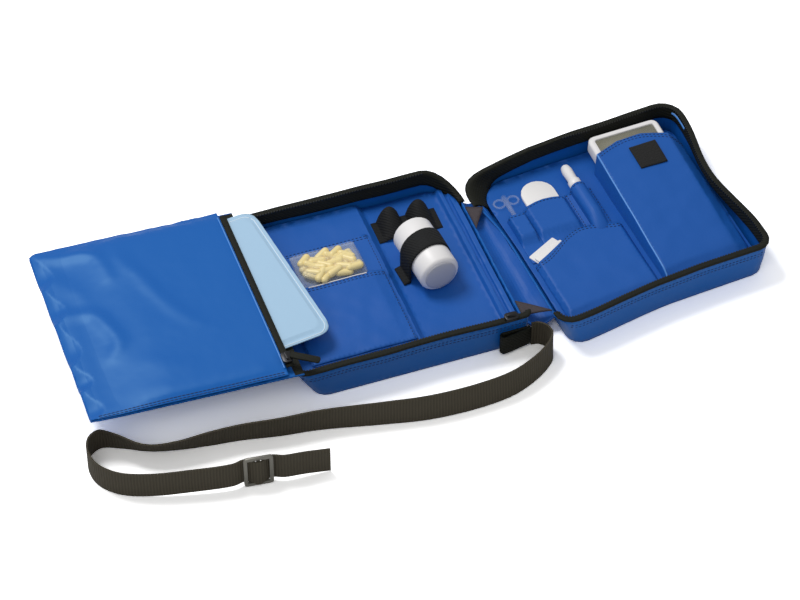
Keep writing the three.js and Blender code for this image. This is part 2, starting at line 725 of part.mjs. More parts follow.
// Insulated pouch. Its own frame has the hinge line at the origin and the pouch on the -X side.
const pouch = new THREE.Group();
pouch.position.set(hingeX, POUCH_OFFSET_Y, POUCH_HINGE_Z);
base.add(pouch);
const POUCH_MOUTH = -12.5;
const halfPouch = POUCH_DEPTH / 2;
const belly = (x, v) => {
  const u = (2 * (x - (-POUCH_LENGTH + POUCH_MOUTH - 5) / 2)) / (POUCH_LENGTH + POUCH_MOUTH - 5);
  return POUCH_BELLY * Math.max(0, 1 - Math.abs(u) ** 3) * Math.max(0, 1 - Math.abs(v) ** 3);
};
const pouchRows = [-1, -0.93, -0.8, -0.5, 0, 0.5, 0.8, 0.93, 1];
const pouchColumns = [-168, -162, -148, -120, -84, -50, -28, -15, -8, 0].map((x) => (x * POUCH_LENGTH) / 168);
// Square plan with its two far corners drawn in.
function pouchPlan(x, v) {
  const y = v * halfPouch;
  const corner = Math.max(0, -x - POUCH_LENGTH + POUCH_CORNER) / POUCH_CORNER;
  const drawn = 1 - (0.3 * POUCH_CORNER * corner * corner) / halfPouch;
  return new THREE.Vector2(x, y * drawn - POUCH_SKEW * x);
}
function pouchGrid(columns, zAt) {
  return pouchRows.flatMap((v) =>
    columns.map((x) => {
      const p = pouchPlan(x, v);
      return new THREE.Vector3(p.x, p.y, zAt(p.x, v));
    }),
  );
}
addPart(
  pouch,
  "pouch_back",
  gridSolid(
    pouchGrid(pouchColumns, (x, v) => -POUCH_CLOTH - belly(x, v)),
    pouchGrid(pouchColumns, () => 0),
    pouchColumns.length,
    pouchRows.length,
  ),
  nylon(),
);
const frontColumns = pouchColumns.filter((x) => x < POUCH_MOUTH).concat(POUCH_MOUTH);
const GEL_SPACE = GEL_THICK + 2 * FIT_GAP;
const mouthRise = (v) => GEL_SPACE * smooth(1 - Math.abs(v), 0.005, 0.07);
const frontRise = (x, v) => mouthRise(v) * smooth(POUCH_LENGTH + x, 0, 14) + FIT_GAP;
addPart(
  pouch,
  "pouch_front",
  gridSolid(
    pouchGrid(frontColumns, frontRise),
    pouchGrid(frontColumns, (x, v) => frontRise(x, v) + POUCH_CLOTH),
    frontColumns.length,
    pouchRows.length,
  ),
  nylon(),
);
const zipFrom = POUCH_MOUTH + FIT_GAP;
const zipRows = pouchRows.filter((v) => Math.abs(v) < 1);
addPart(
  pouch,
  "pouch_zip_tape",
  sheet(
    [0, 0.5, 1],
    zipRows,
    (s, v) =>
      new THREE.Vector3(
        zipFrom + s * POUCH_ZIP_WIDTH,
        v * halfPouch,
        mouthRise(v) + FIT_GAP + (s === 0.5 ? 0.6 : 0),
      ),
    POUCH_CLOTH,
  ),
  zipBlack(),
);

// Gel pack, part drawn out of the pouch's mouth and slightly askew.
const GEL_X = -39.5;
const GEL_Y = 10.5;
const gelOutline = roundedRect(-GEL_LENGTH / 2, GEL_LENGTH / 2, -GEL_WIDTH / 2, GEL_WIDTH / 2, GEL_CORNER, 4);
const GEL_WELD = 4;
const GEL_WELD_THICK = 1;
const gelInset = (inset) =>
  roundedRect(
    -GEL_LENGTH / 2 + inset,
    GEL_LENGTH / 2 - inset,
    -GEL_WIDTH / 2 + inset,
    GEL_WIDTH / 2 - inset,
    GEL_CORNER - inset / 2,
    4,
  );
const gelMiddle = FIT_GAP + GEL_THICK / 2;
const gel = addPart(
  pouch,
  "gel_pack",
  loft(
    [
      flatRing(gelInset(GEL_WELD + 3), gelMiddle - GEL_THICK / 2),
      flatRing(gelInset(GEL_WELD), gelMiddle - GEL_WELD_THICK / 2),
      flatRing(gelOutline, gelMiddle - GEL_WELD_THICK / 2),
      flatRing(gelOutline, gelMiddle + GEL_WELD_THICK / 2),
      flatRing(gelInset(GEL_WELD), gelMiddle + GEL_WELD_THICK / 2),
      flatRing(gelInset(GEL_WELD + 3), gelMiddle + GEL_THICK / 2),
    ],
    gelOutline,
  ),
  finish(0xa9cbe6, 0.35),
);
gel.position.set(GEL_X, GEL_Y, 0);
gel.rotation.z = GEL_TURN;

// Pouch zip slider and its soft pull, parked at the front end of the zip.
const SLIDER_Y = -halfPouch + 14;
const pouchSlider = new THREE.Group();
pouchSlider.position.set(
  zipFrom + POUCH_ZIP_WIDTH / 2,
  SLIDER_Y,
  GEL_SPACE + FIT_GAP + POUCH_CLOTH + 0.6 + FIT_GAP,
);
pouch.add(pouchSlider);
addPart(pouchSlider, "pouch_zip_slider", zipSlider(), darkMetal());
const pouchPull = addPart(pouchSlider, "pouch_zip_pull", zipPull(), zipBlack());
const PULL_TURN = 0.6;
const pullStart = 1 + FIT_GAP + (PULL_WIDTH / 2) * Math.sin(PULL_TURN);
pouchPull.position.set(pullStart, 0, SLIDER_HEIGHT - 1.6 + FIT_GAP);
pouchPull.rotation.z = -PULL_TURN;

// Lid tray
addPart(lidGroup, "lid_shell", trayShell(lidStations), nylon());
addPart(lidGroup, "lid_zip_tape", zipTape(lidStations), zipBlack());
addPart(lidGroup, "lid_panel", panelPlug(lidStations, LID_PANEL_TOP), lining());

// What the lid carries sits slightly askew to the tray, in a frame of its own.
const lidFit = new THREE.Group();
lidFit.position.set(LID_FIT_X - LID_WIDTH / 2, LID_FIT_Y - LID_DEPTH / 2, 0);
lidFit.rotation.z = -LID_FIT_TURN;
lidGroup.add(lidFit);

// Lid pockets.
const lidSeat = LID_PANEL_TOP + FIT_GAP;
function pocket(left, right, front, back, rise, edge = 0.1) {
  return sheet(
    [0, edge, 0.3, 0.5, 0.7, 1 - edge, 1],
    [0, 0.15, 0.5, 1],
    (s, t) => {
      const puff = smooth(s, 0, edge) * smooth(1 - s, 0, edge) * smooth(t, 0, 0.15);
      return new THREE.Vector3(
        lerp(left, right, s),
        lerp(front(lerp(left, right, s)), back(s), t),
        lidSeat + rise * puff,
      );
    },
    POCKET_CLOTH,
  );
}
// The row of small pockets, measured from the lid's spine side and its back.
const POCKET_ROW = 86;
const SMALL_POCKET_LEFT = 13.5;
const SMALL_POCKET_WIDTH = 16;
const SMALL_POCKET_DEPTH = 28;
const MIDDLE_POCKET_LEFT = 31;
const MIDDLE_POCKET_WIDTH = 38;
const MIDDLE_POCKET_DEPTH = 34;
const PEN_POCKET_DEPTH = 38;
const PEN_POCKET_SEAM = 5;
const PEN_X = 81.5;
const SMALL_POCKET_FRONT = LID_DEPTH - POCKET_ROW;
const smallFront = () => SMALL_POCKET_FRONT;
// The large pockets are sewn along the tray's front.
const POCKET_MARGIN = 7;
const pocketFront = (x) =>
  (POCKET_MARGIN - LID_FIT_Y + x * Math.sin(LID_FIT_TURN)) / Math.cos(LID_FIT_TURN);
addPart(
  lidFit,
  "lid_pocket_small",
  pocket(
    SMALL_POCKET_LEFT,
    SMALL_POCKET_LEFT + SMALL_POCKET_WIDTH,
    smallFront,
    () => SMALL_POCKET_FRONT + SMALL_POCKET_DEPTH,
    6,
  ),
  lining(),
);
const tongueRise = TONGUE_THICK + 2 * FIT_GAP;
addPart(
  lidFit,
  "lid_pocket_middle",
  pocket(
    MIDDLE_POCKET_LEFT,
    MIDDLE_POCKET_LEFT + MIDDLE_POCKET_WIDTH,
    smallFront,
    (s) => SMALL_POCKET_FRONT + MIDDLE_POCKET_DEPTH + 4 * Math.sin(Math.PI * s),
    tongueRise,
    0.08,
  ),
  lining(),
);
const penSeat = lidSeat + PEN_RADIUS;
addPart(
  lidFit,
  "lid_pocket_pen",
  profileAlongY(
    bandOver(PEN_RADIUS + FIT_GAP, PEN_X, penSeat, lidSeat, POCKET_CLOTH, PEN_POCKET_SEAM),
    SMALL_POCKET_FRONT,
    SMALL_POCKET_FRONT + PEN_POCKET_DEPTH,
  ),
  lining(),
);
// The meter stands part way across the room that the pen's pocket leaves.
const METER_SHARE = 0.38;
const METER_BACK = 10;
const penPocketRight = PEN_X + PEN_RADIUS + FIT_GAP + POCKET_CLOTH + PEN_POCKET_SEAM;
const METER_LEFT = penPocketRight + METER_SHARE * (LID_WIDTH - penPocketRight - METER_WIDTH);
const METER_FRONT = LID_DEPTH - METER_LENGTH - METER_BACK;
const sachetStack = 2 * (SACHET_THICK + FIT_GAP);
const LOWER_POCKET_LEFT = 14;
const LOWER_POCKET_RIGHT = METER_LEFT - 7;
const LOWER_POCKET_BACK_EDGE = SMALL_POCKET_FRONT - 27;
addPart(
  lidFit,
  "lid_pocket_lower",
  pocket(
    LOWER_POCKET_LEFT,
    LOWER_POCKET_RIGHT,
    pocketFront,
    (s) => LOWER_POCKET_BACK_EDGE + 24 * smooth(s, 0, 0.6) - 8 * smooth(s, 0.6, 1),
    sachetStack + FIT_GAP,
    0.04,
  ),
  lining(),
);

// White tongue-shaped piece in the middle pocket.
const tongueX = MIDDLE_POCKET_LEFT + MIDDLE_POCKET_WIDTH / 2;
const tongueFront = SMALL_POCKET_FRONT + 7;
addPart(
  lidFit,
  "test_strip_card",
  slab(
    [
      new THREE.Vector2(tongueX - TONGUE_WIDTH / 2, tongueFront),
      new THREE.Vector2(tongueX + TONGUE_WIDTH / 2, tongueFront),
      ...arc(tongueX, tongueFront + TONGUE_LENGTH - TONGUE_WIDTH / 2, TONGUE_WIDTH / 2, 0, Math.PI, 10),
    ],
    lidSeat,
    TONGUE_THICK,
  ),
  whitePlastic(),
);

// Lancing pen with its collar and rounded cap.
const penGroup = new THREE.Group();
penGroup.position.set(PEN_X, SMALL_POCKET_FRONT + 3, penSeat);
lidFit.add(penGroup);
const PEN_CAP = 26;
const penBody = PEN_LENGTH - PEN_CAP;
addPart(
  penGroup,
  "pen_body",
  turned(
    [
      [0, 0],
      [0, PEN_RADIUS - 1.5],
      [1.5, PEN_RADIUS],
      [penBody, PEN_RADIUS],
      [penBody, 0],
    ],
    14,
  ),
  whitePlastic(),
);
addPart(
  penGroup,
  "pen_cap",
  turned(
    [
      [penBody + FIT_GAP, 0],
      [penBody + FIT_GAP, PEN_RADIUS],
      [penBody + 6, PEN_RADIUS],
      [penBody + 8, PEN_RADIUS - 1.2],
      [PEN_LENGTH - 7, PEN_RADIUS - 0.8],
      [PEN_LENGTH - 2, PEN_RADIUS - 1.8],
      [PEN_LENGTH, PEN_RADIUS - 4],
      [PEN_LENGTH, 0],
    ],
    14,
  ),
  finish(0xdfdfe2, 0.4),
);

// Two flat sachets, one on the other, leaning out of the lower pocket.
function sachet(name, x, y, turn, level) {
  const outline = roundedRect(-SACHET_WIDTH / 2, SACHET_WIDTH / 2, -SACHET_LENGTH / 2, SACHET_LENGTH / 2, 1, 2);
  const z = lidSeat + level * (SACHET_THICK + FIT_GAP);
  const packet = addPart(lidFit, name, slab(outline, z, SACHET_THICK), finish(0xf0efed, 0.5));
  packet.position.set(x, y, 0);
  packet.rotation.z = turn;
}
const SACHET_X = 36;
sachet("sachet_rear", SACHET_X, LOWER_POCKET_BACK_EDGE - 2, 0.45, 0);
sachet("sachet_front", SACHET_X + 2, LOWER_POCKET_BACK_EDGE - 8, 0.38, 1);

// Small clear connector: a short tube with a pair of finger loops.
const connectorX = SMALL_POCKET_LEFT + SMALL_POCKET_WIDTH / 2;
const connectorY = SMALL_POCKET_FRONT + SMALL_POCKET_DEPTH + 13;
const CONNECTOR_RADIUS = 2.4;
const connectorZ = lidSeat + CONNECTOR_RADIUS;
const tube = new THREE.CylinderGeometry(CONNECTOR_RADIUS, CONNECTOR_RADIUS - 0.6, 26, 10);
tube.translate(connectorX, connectorY, connectorZ);
const loops = [-1, 1].map((side) =>
  new THREE.TorusGeometry(4.6, 1, 5, 14).translate(connectorX + side * 6.2, connectorY + 7, connectorZ),
);
addPart(lidFit, "clear_connector", join(tube, ...loops), clearFilm());

// Meter in its pocket, tilted up towards the back of the lid. Its own origin is its front foot.
const meter = new THREE.Group();
meter.position.set(METER_LEFT + METER_WIDTH / 2, METER_FRONT, lidSeat);
meter.rotation.x = METER_TILT;
lidFit.add(meter);
const meterOutline = roundedRect(-METER_WIDTH / 2, METER_WIDTH / 2, 0, METER_LENGTH, 6, 4);
const innerMeter = (inset) =>
  roundedRect(-METER_WIDTH / 2 + inset, METER_WIDTH / 2 - inset, inset, METER_LENGTH - inset, 6 - inset, 4);
const METER_EDGE = 1.6;
const WINDOW_DEPTH = 2.2;
const SCREEN_THICK = 0.7;
const windowBack = METER_LENGTH - 5;
const windowAt = (inset, z, height) =>
  slab(
    roundedRect(
      -WINDOW_WIDTH / 2 + inset,
      WINDOW_WIDTH / 2 - inset,
      windowBack - WINDOW_LENGTH + inset,
      windowBack - inset,
      2,
      3,
    ),
    z,
    height,
  );
const BUTTON_SPREAD = 17;
const BUTTON_Y = 38;
const BUTTON_SINK = 2;
const buttonAt = (side, radius, z, height) => {
  const button = new THREE.CylinderGeometry(radius, radius, height, 16);
  return button.rotateX(Math.PI / 2).translate(side * BUTTON_SPREAD, BUTTON_Y, z + height / 2);
};
const buttonBore = BUTTON_SINK + BUTTON_TRAVEL + FIT_GAP;
addPart(
  meter,
  "meter_case",
  subtract(
    loft(
      [
        flatRing(innerMeter(METER_EDGE), 0),
        flatRing(meterOutline, METER_EDGE),
        flatRing(meterOutline, METER_THICK - METER_EDGE),
        flatRing(innerMeter(METER_EDGE), METER_THICK),
      ],
      meterOutline,
    ),
    windowAt(0, METER_THICK - WINDOW_DEPTH, WINDOW_DEPTH + 1),
    buttonAt(-1, BUTTON_RADIUS + FIT_GAP, METER_THICK - buttonBore, buttonBore + 1),
    buttonAt(1, BUTTON_RADIUS + FIT_GAP, METER_THICK - buttonBore, buttonBore + 1),
  ),
  finish(0xe6e5e3, 0.45),
);
const screenZ = METER_THICK - WINDOW_DEPTH + FIT_GAP;
addPart(meter, "meter_screen", windowAt(FIT_GAP, screenZ, SCREEN_THICK), finish(0x8e8a74, 0.4));
const lensZ = screenZ + SCREEN_THICK + FIT_GAP / 2;
addPart(
  meter,
  "meter_window",
  windowAt(FIT_GAP, lensZ, METER_THICK - FIT_GAP - lensZ),
  finish(0xb9bcb4, 0.1, 0, 0.4),
);
const buttonHeight = BUTTON_SINK + BUTTON_PROUD;
addPart(
  meter,
  "meter_button_left",
  buttonAt(-1, BUTTON_RADIUS, METER_THICK - BUTTON_SINK, buttonHeight),
  finish(0x5d6a78, 0.5),
);
addPart(
  meter,
  "meter_button_right",
  buttonAt(1, BUTTON_RADIUS, METER_THICK - BUTTON_SINK, buttonHeight),
  finish(0x5d6a78, 0.5),
);

// Tall meter pocket: it stands up beside the meter and falls away to the lid's outer side.
const POCKET_SPARE = BUTTON_PROUD + 0.8;
const meterRight = METER_LEFT + METER_WIDTH;
const METER_POCKET_RIGHT = LID_WIDTH - 8;
const meterTopAt = (y) =>
  lidSeat + METER_THICK / Math.cos(METER_TILT) + (y - METER_FRONT) * Math.tan(METER_TILT) + POCKET_SPARE;
const pocketHeight = (y) =>
  y >= METER_FRONT - 3
    ? meterTopAt(y)
    : lerp(lidSeat, meterTopAt(METER_FRONT - 3), (0.3 + 0.7 * y / METER_FRONT) * smooth(y, 5, 24));
const pocketShare = new Map([
  [METER_LEFT - 2.4, 0],
  [METER_LEFT - FIT_GAP - 0.5, 1],
  [lerp(METER_LEFT, meterRight, 0.33), 1],
  [lerp(METER_LEFT, meterRight, 0.67), 1],
  [meterRight + FIT_GAP + 0.5, 1],
  [lerp(meterRight, METER_POCKET_RIGHT, 0.77), 0.6],
  [METER_POCKET_RIGHT, 0],
]);
const POCKET_REACH = 69;
const pocketTopEdge = (x) => {
  const share = (x - METER_LEFT) / (METER_POCKET_RIGHT - METER_LEFT);
  return METER_FRONT + POCKET_REACH + 40 * share - 46 * share * share;
};
const pocketPoint = (x, y, lift = 0) =>
  new THREE.Vector3(
    x,
    y,
    lerp(lidSeat, pocketHeight(y), pocketShare.get(x) ?? 1) + lift,
  );
addPart(
  lidFit,
  "meter_pocket",
  sheet(
    [...pocketShare.keys()],
    [0, 0.06, 0.12, 0.25, 0.47, 0.75, 1],
    (x, t) => pocketPoint(x, lerp(pocketFront(x), pocketTopEdge(x), t)),
    POCKET_CLOTH,
  ),
  lining(),
);
const PATCH_LEFT = METER_LEFT + 27;
const PATCH_BACK = METER_FRONT + POCKET_REACH + 4;
addPart(
  lidFit,
  "hook_patch",
  sheet(
    [PATCH_LEFT, PATCH_LEFT + HOOK_PATCH],
    [PATCH_BACK - HOOK_PATCH, PATCH_BACK],
    (x, y) => pocketPoint(x, y, POCKET_CLOTH + FIT_GAP),
    1.2,
  ),
  finish(0x151515, 0.95),
);

// Carrying strap: webbing that stands on its edge. Each point is a place on the floor, in
// millimetres from the origin, and how far the webbing leans back there, in degrees.
const STRAP_ROUTE = [
  [98, -90.8, 0],
  [104, -92, 0],
  [109, -97, 0],
  [110.5, -104, 0],
  [108, -112, 4],
  [101, -119, 5],
  [89, -127, 6],
  [67, -136, 7],
  [37, -139.5, 7],
  [-4, -137.5, 5],
  [-42, -129.5, 1],
  [-88, -118.5, -5],
  [-119, -114, -9],
  [-149, -108, -13],
  [-173, -105, -17],
  [-199, -100.5, -25],
  [-218, -95, -32],
  [-238, -84.5, -30],
  [-253, -79, -26],
  [-263, -85, -14],
  [-267, -98, -5],
  [-264.5, -113, 0],
  [-253, -127, 0],
  [-231, -138, 0],
  [-202, -146, 0],
];
const STRAP_TAIL = [
  [-112, -158.5, 0],
  [-93.5, -160.5, 0],
];
const SLIDE_PLACE = new THREE.Vector3(-149, -154.5, 0);
const SLIDE_TURN = -0.12;
const WEAVE = (GLIDE_THICK + WEBBING_THICK) / 2 + 2 * FIT_GAP;
const slideAlong = new THREE.Vector3(Math.cos(SLIDE_TURN), Math.sin(SLIDE_TURN), 0);
const slideAcross = new THREE.Vector3(-Math.sin(SLIDE_TURN), Math.cos(SLIDE_TURN), 0);
const weavePoints = [
  [-2, 0],
  [-1, -WEAVE],
  [0, WEAVE],
  [1, -WEAVE],
  [2, 0],
].map(([bar, off]) =>
  SLIDE_PLACE.clone()
    .addScaledVector(slideAlong, bar * (GLIDE_BAR + GLIDE_SLOT))
    .addScaledVector(slideAcross, off),
);
const routePoint = ([x, y, lean]) => new THREE.Vector3(x, y, lean);
const routePoints = [...STRAP_ROUTE.map(routePoint), ...weavePoints, ...STRAP_TAIL.map(routePoint)];
const routeCurve = new THREE.CatmullRomCurve3(routePoints, false, "centripetal");
const slideIndex = STRAP_ROUTE.length + 2;
const strapLift = GLIDE_BAR + FIT_GAP;
const RINGS_PER_STEP = 4;
const strapRings = range(0, routePoints.length - 1, RINGS_PER_STEP * (routePoints.length - 1)).map((step) => {
  const share = step / (routePoints.length - 1);
  const place = routeCurve.getPoint(share);
  const along = routeCurve.getTangent(share).setZ(0).normalize();
  const side = new THREE.Vector3(-along.y, along.x, 0);
  const lean = THREE.MathUtils.degToRad(place.z);
  const away = side.y > 0 ? 1 : -1;
  const up = new THREE.Vector3(0, 0, Math.cos(lean)).addScaledVector(side, away * Math.sin(lean));
  const thick = side.clone().multiplyScalar(Math.cos(lean));
  thick.z = -away * Math.sin(lean);
  const lift = strapLift * smooth(5 - Math.abs(step - slideIndex), 0, 3);
  const footZ = FIT_GAP + lift + (WEBBING_THICK / 2) * Math.abs(Math.sin(lean));
  const foot = new THREE.Vector3(place.x, place.y, footZ);
  const corner = (h, w) => foot.clone().addScaledVector(up, h).addScaledVector(thick, w);
  const half = WEBBING_THICK / 2;
  return [corner(0, -half), corner(WEBBING_WIDTH, -half), corner(WEBBING_WIDTH, half), corner(0, half)];
});
const webbingSection = flat([
  [0, 0],
  [WEBBING_WIDTH, 0],
  [WEBBING_WIDTH, WEBBING_THICK],
  [0, WEBBING_THICK],
]);
addPart(model, "strap_webbing", loft(strapRings, webbingSection), webbing());

// The strap's sewn tab, folded back on itself against the front wall.
const TAB_HEIGHT = 18;
const TAB_FOOT = 3;
const tabLeft = HALF_W - 24;
const tabY = -HALF_D + SIDE_FLARE * (1 - (TAB_FOOT + TAB_HEIGHT) / TRAY_HEIGHT) - FIT_GAP;
const tab = slab(
  [
    new THREE.Vector2(HALF_W - 1, tabY),
    ...arc(tabLeft, tabY - 3.5, 3.5, Math.PI / 2, 1.5 * Math.PI, 6),
    new THREE.Vector2(HALF_W - 1, tabY - 3),
    new THREE.Vector2(HALF_W - 1, tabY - 1.6),
    ...arc(tabLeft, tabY - 3.5, 2.1, 1.5 * Math.PI, Math.PI / 2, 6),
    new THREE.Vector2(HALF_W - 1, tabY - 1.3),
  ],
  TAB_FOOT,
  TAB_HEIGHT,
);
addPart(model, "strap_tab", tab, webbing());

// Three-bar slide on the strap: the webbing passes over the middle bar and behind the others.
const glide = new THREE.Group();
glide.position.copy(SLIDE_PLACE).setZ(FIT_GAP);
glide.rotation.z = SLIDE_TURN;
model.add(glide);
const glideHalf = 1.5 * GLIDE_BAR + GLIDE_SLOT;
const slotTall = WEBBING_WIDTH + 2 * FIT_GAP;
const frame = new THREE.Shape(roundedRect(-glideHalf, glideHalf, 0, slotTall + 2 * GLIDE_BAR, 2.5, 3));
for (const side of [-1, 1]) {
  const middle = (side * (GLIDE_BAR + GLIDE_SLOT)) / 2;
  const [left, right] = [middle - GLIDE_SLOT / 2, middle + GLIDE_SLOT / 2];
  frame.holes.push(new THREE.Path(roundedRect(left, right, GLIDE_BAR, GLIDE_BAR + slotTall, 0.2, 1)));
}
const glidePlate = new THREE.ExtrudeGeometry(frame, { depth: GLIDE_THICK, bevelEnabled: false });
glidePlate.rotateX(Math.PI / 2).translate(0, GLIDE_THICK / 2, 0);
addPart(glide, "strap_slide", glidePlate, darkMetal());

export default model;
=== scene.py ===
import math

import bmesh
import bpy
from mathutils import Matrix, Vector, noise
from mathutils.bvhtree import BVHTree


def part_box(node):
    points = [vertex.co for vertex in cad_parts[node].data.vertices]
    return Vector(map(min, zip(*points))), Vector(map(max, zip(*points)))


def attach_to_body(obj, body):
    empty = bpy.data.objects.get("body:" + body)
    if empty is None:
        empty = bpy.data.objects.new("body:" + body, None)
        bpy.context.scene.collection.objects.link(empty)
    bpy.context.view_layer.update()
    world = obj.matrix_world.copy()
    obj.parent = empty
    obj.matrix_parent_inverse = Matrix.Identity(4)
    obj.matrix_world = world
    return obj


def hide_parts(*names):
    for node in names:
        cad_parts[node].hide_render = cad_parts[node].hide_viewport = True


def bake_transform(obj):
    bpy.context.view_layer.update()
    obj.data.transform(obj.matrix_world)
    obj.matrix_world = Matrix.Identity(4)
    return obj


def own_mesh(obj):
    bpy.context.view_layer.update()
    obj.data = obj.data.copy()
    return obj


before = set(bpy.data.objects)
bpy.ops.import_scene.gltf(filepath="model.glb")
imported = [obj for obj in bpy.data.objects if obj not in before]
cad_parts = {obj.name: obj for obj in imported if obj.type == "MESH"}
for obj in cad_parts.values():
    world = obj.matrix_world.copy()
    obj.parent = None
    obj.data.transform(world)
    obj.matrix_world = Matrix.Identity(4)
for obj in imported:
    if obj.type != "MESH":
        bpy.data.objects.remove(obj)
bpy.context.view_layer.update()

bl_info = {
    "name": "Glucose meter case",
    "version": (1, 0, 0),
    "blender": (4, 5, 0),
    "location": "View3D > Sidebar > Case",
    "description": "Dresses the open soft case: cloth, zips, stitching, contents, strap and stage",
    "category": "Object",
}

MM = 0.001
DOWN = (0, 0, -1)
BACKWARD = (0, 1, 0)
OUTWARD = (1, 0, 0)
MERGE_GAP = 0.02 * MM
SPLIT_ROUNDS = 8
SPLIT_LIMIT = 40000
SHARP_ANGLE = 40
BEVEL_ANGLE = 35
BEVEL_SEGMENTS = 2


def linear(hex_colour):
    """A linear colour from an sRGB hex value."""
    parts = [int(hex_colour[i : i + 2], 16) / 255 for i in (0, 2, 4)]
    return tuple(c / 12.92 if c <= 0.04045 else ((c + 0.055) / 1.055) ** 2.4 for c in parts)


def colour(name, description, hex_colour):
    """A colour that the user can change."""
    return bpy.props.FloatVectorProperty(
        name=name, description=description, default=linear(hex_colour), subtype="COLOR", min=0, max=1
    )


def length(name, description, default):
    """A length that the user can change, in metres."""
    return bpy.props.FloatProperty(
        name=name, description=description, default=default, unit="LENGTH", min=0
    )


class CaseColours(bpy.types.PropertyGroup):
    """Colours of the cloth, trim and contents."""

    nylon: colour("Nylon", "Coated cloth of the trays, pockets and pouch", "125cb0")
    lining: colour("Lining", "Padded lining of both trays", "195aaf")
    zip_black: colour("Zip tape", "Zip tapes, pulls and binding", "15170f")
    elastic: colour("Elastic", "Woven elastic loops", "18191a")
    webbing: colour("Webbing", "Carrying strap", "443f33")
    gel: colour("Gel pack", "Vinyl skin of the gel pack", "a9cbe6")
    white: colour("White plastic", "Bottle, pen and meter", "f0eeee")
    paper: colour("Paper", "Sachets and the tongue-shaped card", "f1efee")
    capsule: colour("Capsules", "Gelatin capsules in the clear bag", "f3dfa0")
    display: colour("Display", "The meter's liquid crystal", "77745f")
    thread: colour("Thread", "Sewing thread", "10264f")
    # Lighter blue for seams and folds: a painted highlight on the nylon.
    piping_highlight: colour("Piping highlight", "Raised seams that catch the light", "4f8fdc")
    gusset: colour("Gusset", "Thin cloth at the ends of the spine", "453e42")


class CaseSizes(bpy.types.PropertyGroup):
    """Sizes of what repeats and of the cloth's unevenness."""

    stitch_pitch: length("Stitch pitch", "From one stitch to the next", 3.2 * MM)
    stitch_length: length("Stitch length", "Visible thread of one stitch", 2.2 * MM)
    thread_width: length("Thread width", "Thickness of the sewing thread", 0.7 * MM)
    tooth_pitch: length("Tooth pitch", "From one zip tooth to the next", 2.4 * MM)
    tooth_width: length("Tooth width", "Width of a zip tooth along the rim", 1.3 * MM)
    webbing_width: length("Webbing width", "Width of the strap", 25 * MM)
    webbing_thick: length("Webbing thickness", "Thickness of the strap", 1.4 * MM)
    sway: length("Wall sway", "How far the soft walls wander from straight", 0.9 * MM)
    swell: length("Pad swell", "How far the padded lining rises and falls", 0.7 * MM)
    crease: length("Pouch crease", "Height of the pouch's broad creases", 1.5 * MM)


# Small tools


def sizes():
    """The sizes that the user can change."""
    return bpy.context.scene.case_sizes


def colours():
    """The colours that the user can change."""
    return bpy.context.scene.case_colours


def set_inputs(tree, node, inputs):
    """Sets a node's inputs, or links those that are given as sockets."""
    for key, value in dict(inputs).items():
        if isinstance(value, bpy.types.NodeSocket):
            tree.links.new(value, node.inputs[key])
        else:
            node.inputs[key].default_value = value


def add_node(tree, kind, inputs=(), **settings):
    """Adds one node with its settings, and sets or links its inputs."""
    made = tree.nodes.new(kind)
    for name, value in settings.items():
        setattr(made, name, value)
    set_inputs(tree, made, inputs)
    return made


def ease(value, low, high):
    """0 below low, 1 above high, smooth between."""
    t = min(1.0, max(0.0, (value - low) / (high - low)))
    return t * t * (3 - 2 * t)


def grain(point, size, seed=0.0):
    """Smooth noise from -1 to 1 whose features are about that size, in metres."""
    return noise.noise(point / size + Vector((seed, 1.7 * seed, 2.3 * seed)))


def box_of(node):
    """The low and high corners of a CAD node."""
    return [Vector(p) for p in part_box(node)]


def new_object(name, mesh, material):
    """Puts a mesh into the scene as an object at the origin."""
    made = bpy.data.objects.new(name, mesh)
    bpy.context.scene.collection.objects.link(made)
    mesh.materials.clear()
    mesh.materials.append(material)
    return made


def attach(piece, body):
    """Gives a piece the body that it moves with."""
    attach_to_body(piece, body)
    return piece


def shade(mesh, angle=SHARP_ANGLE):
    """Smooth shading that stays crisp at edges sharper than the angle, in degrees."""
    mesh.shade_smooth()
    mesh.set_sharp_from_angle(angle=math.radians(angle))


def split_edges(shape, spacing):
    """Splits a shape's edges until they are shorter than the spacing."""
    for _ in range(SPLIT_ROUNDS):
        long_edges = [e for e in shape.edges if e.calc_length() > spacing]
        if len(shape.faces) > SPLIT_LIMIT or not long_edges:
            break
        bmesh.ops.subdivide_edges(shape, edges=long_edges, cuts=1)
        bmesh.ops.triangulate(shape, faces=[f for f in shape.faces if len(f.verts) > 3])


def split(mesh, spacing):
    """Splits a mesh's edges until they are shorter than the spacing."""
    shape = bmesh.new()
    shape.from_mesh(mesh)
    split_edges(shape, spacing)
    shape.to_mesh(mesh)
    shape.free()


def cad_copy(node, spacing=None, rounds=0, sink=0):
    """A merged copy of a CAD node's mesh, split to the spacing and relaxed; sink relaxes heights only."""
    shape = bmesh.new()
    shape.from_mesh(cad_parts[node].data)
    bmesh.ops.remove_doubles(shape, verts=shape.verts, dist=MERGE_GAP)
    if spacing:
        split_edges(shape, spacing)
    for turn in range(rounds + sink):
        flat = turn < rounds
        bmesh.ops.smooth_vert(
            shape, verts=shape.verts, factor=0.5, use_axis_x=flat, use_axis_y=flat, use_axis_z=True
        )
    mesh = bpy.data.meshes.new(node)
    shape.to_mesh(mesh)
    shape.free()
    return mesh


def shift(mesh, field):
    """Moves each vertex by a field of displacement."""
    for vertex in mesh.vertices:
        vertex.co += field(vertex.co.copy())


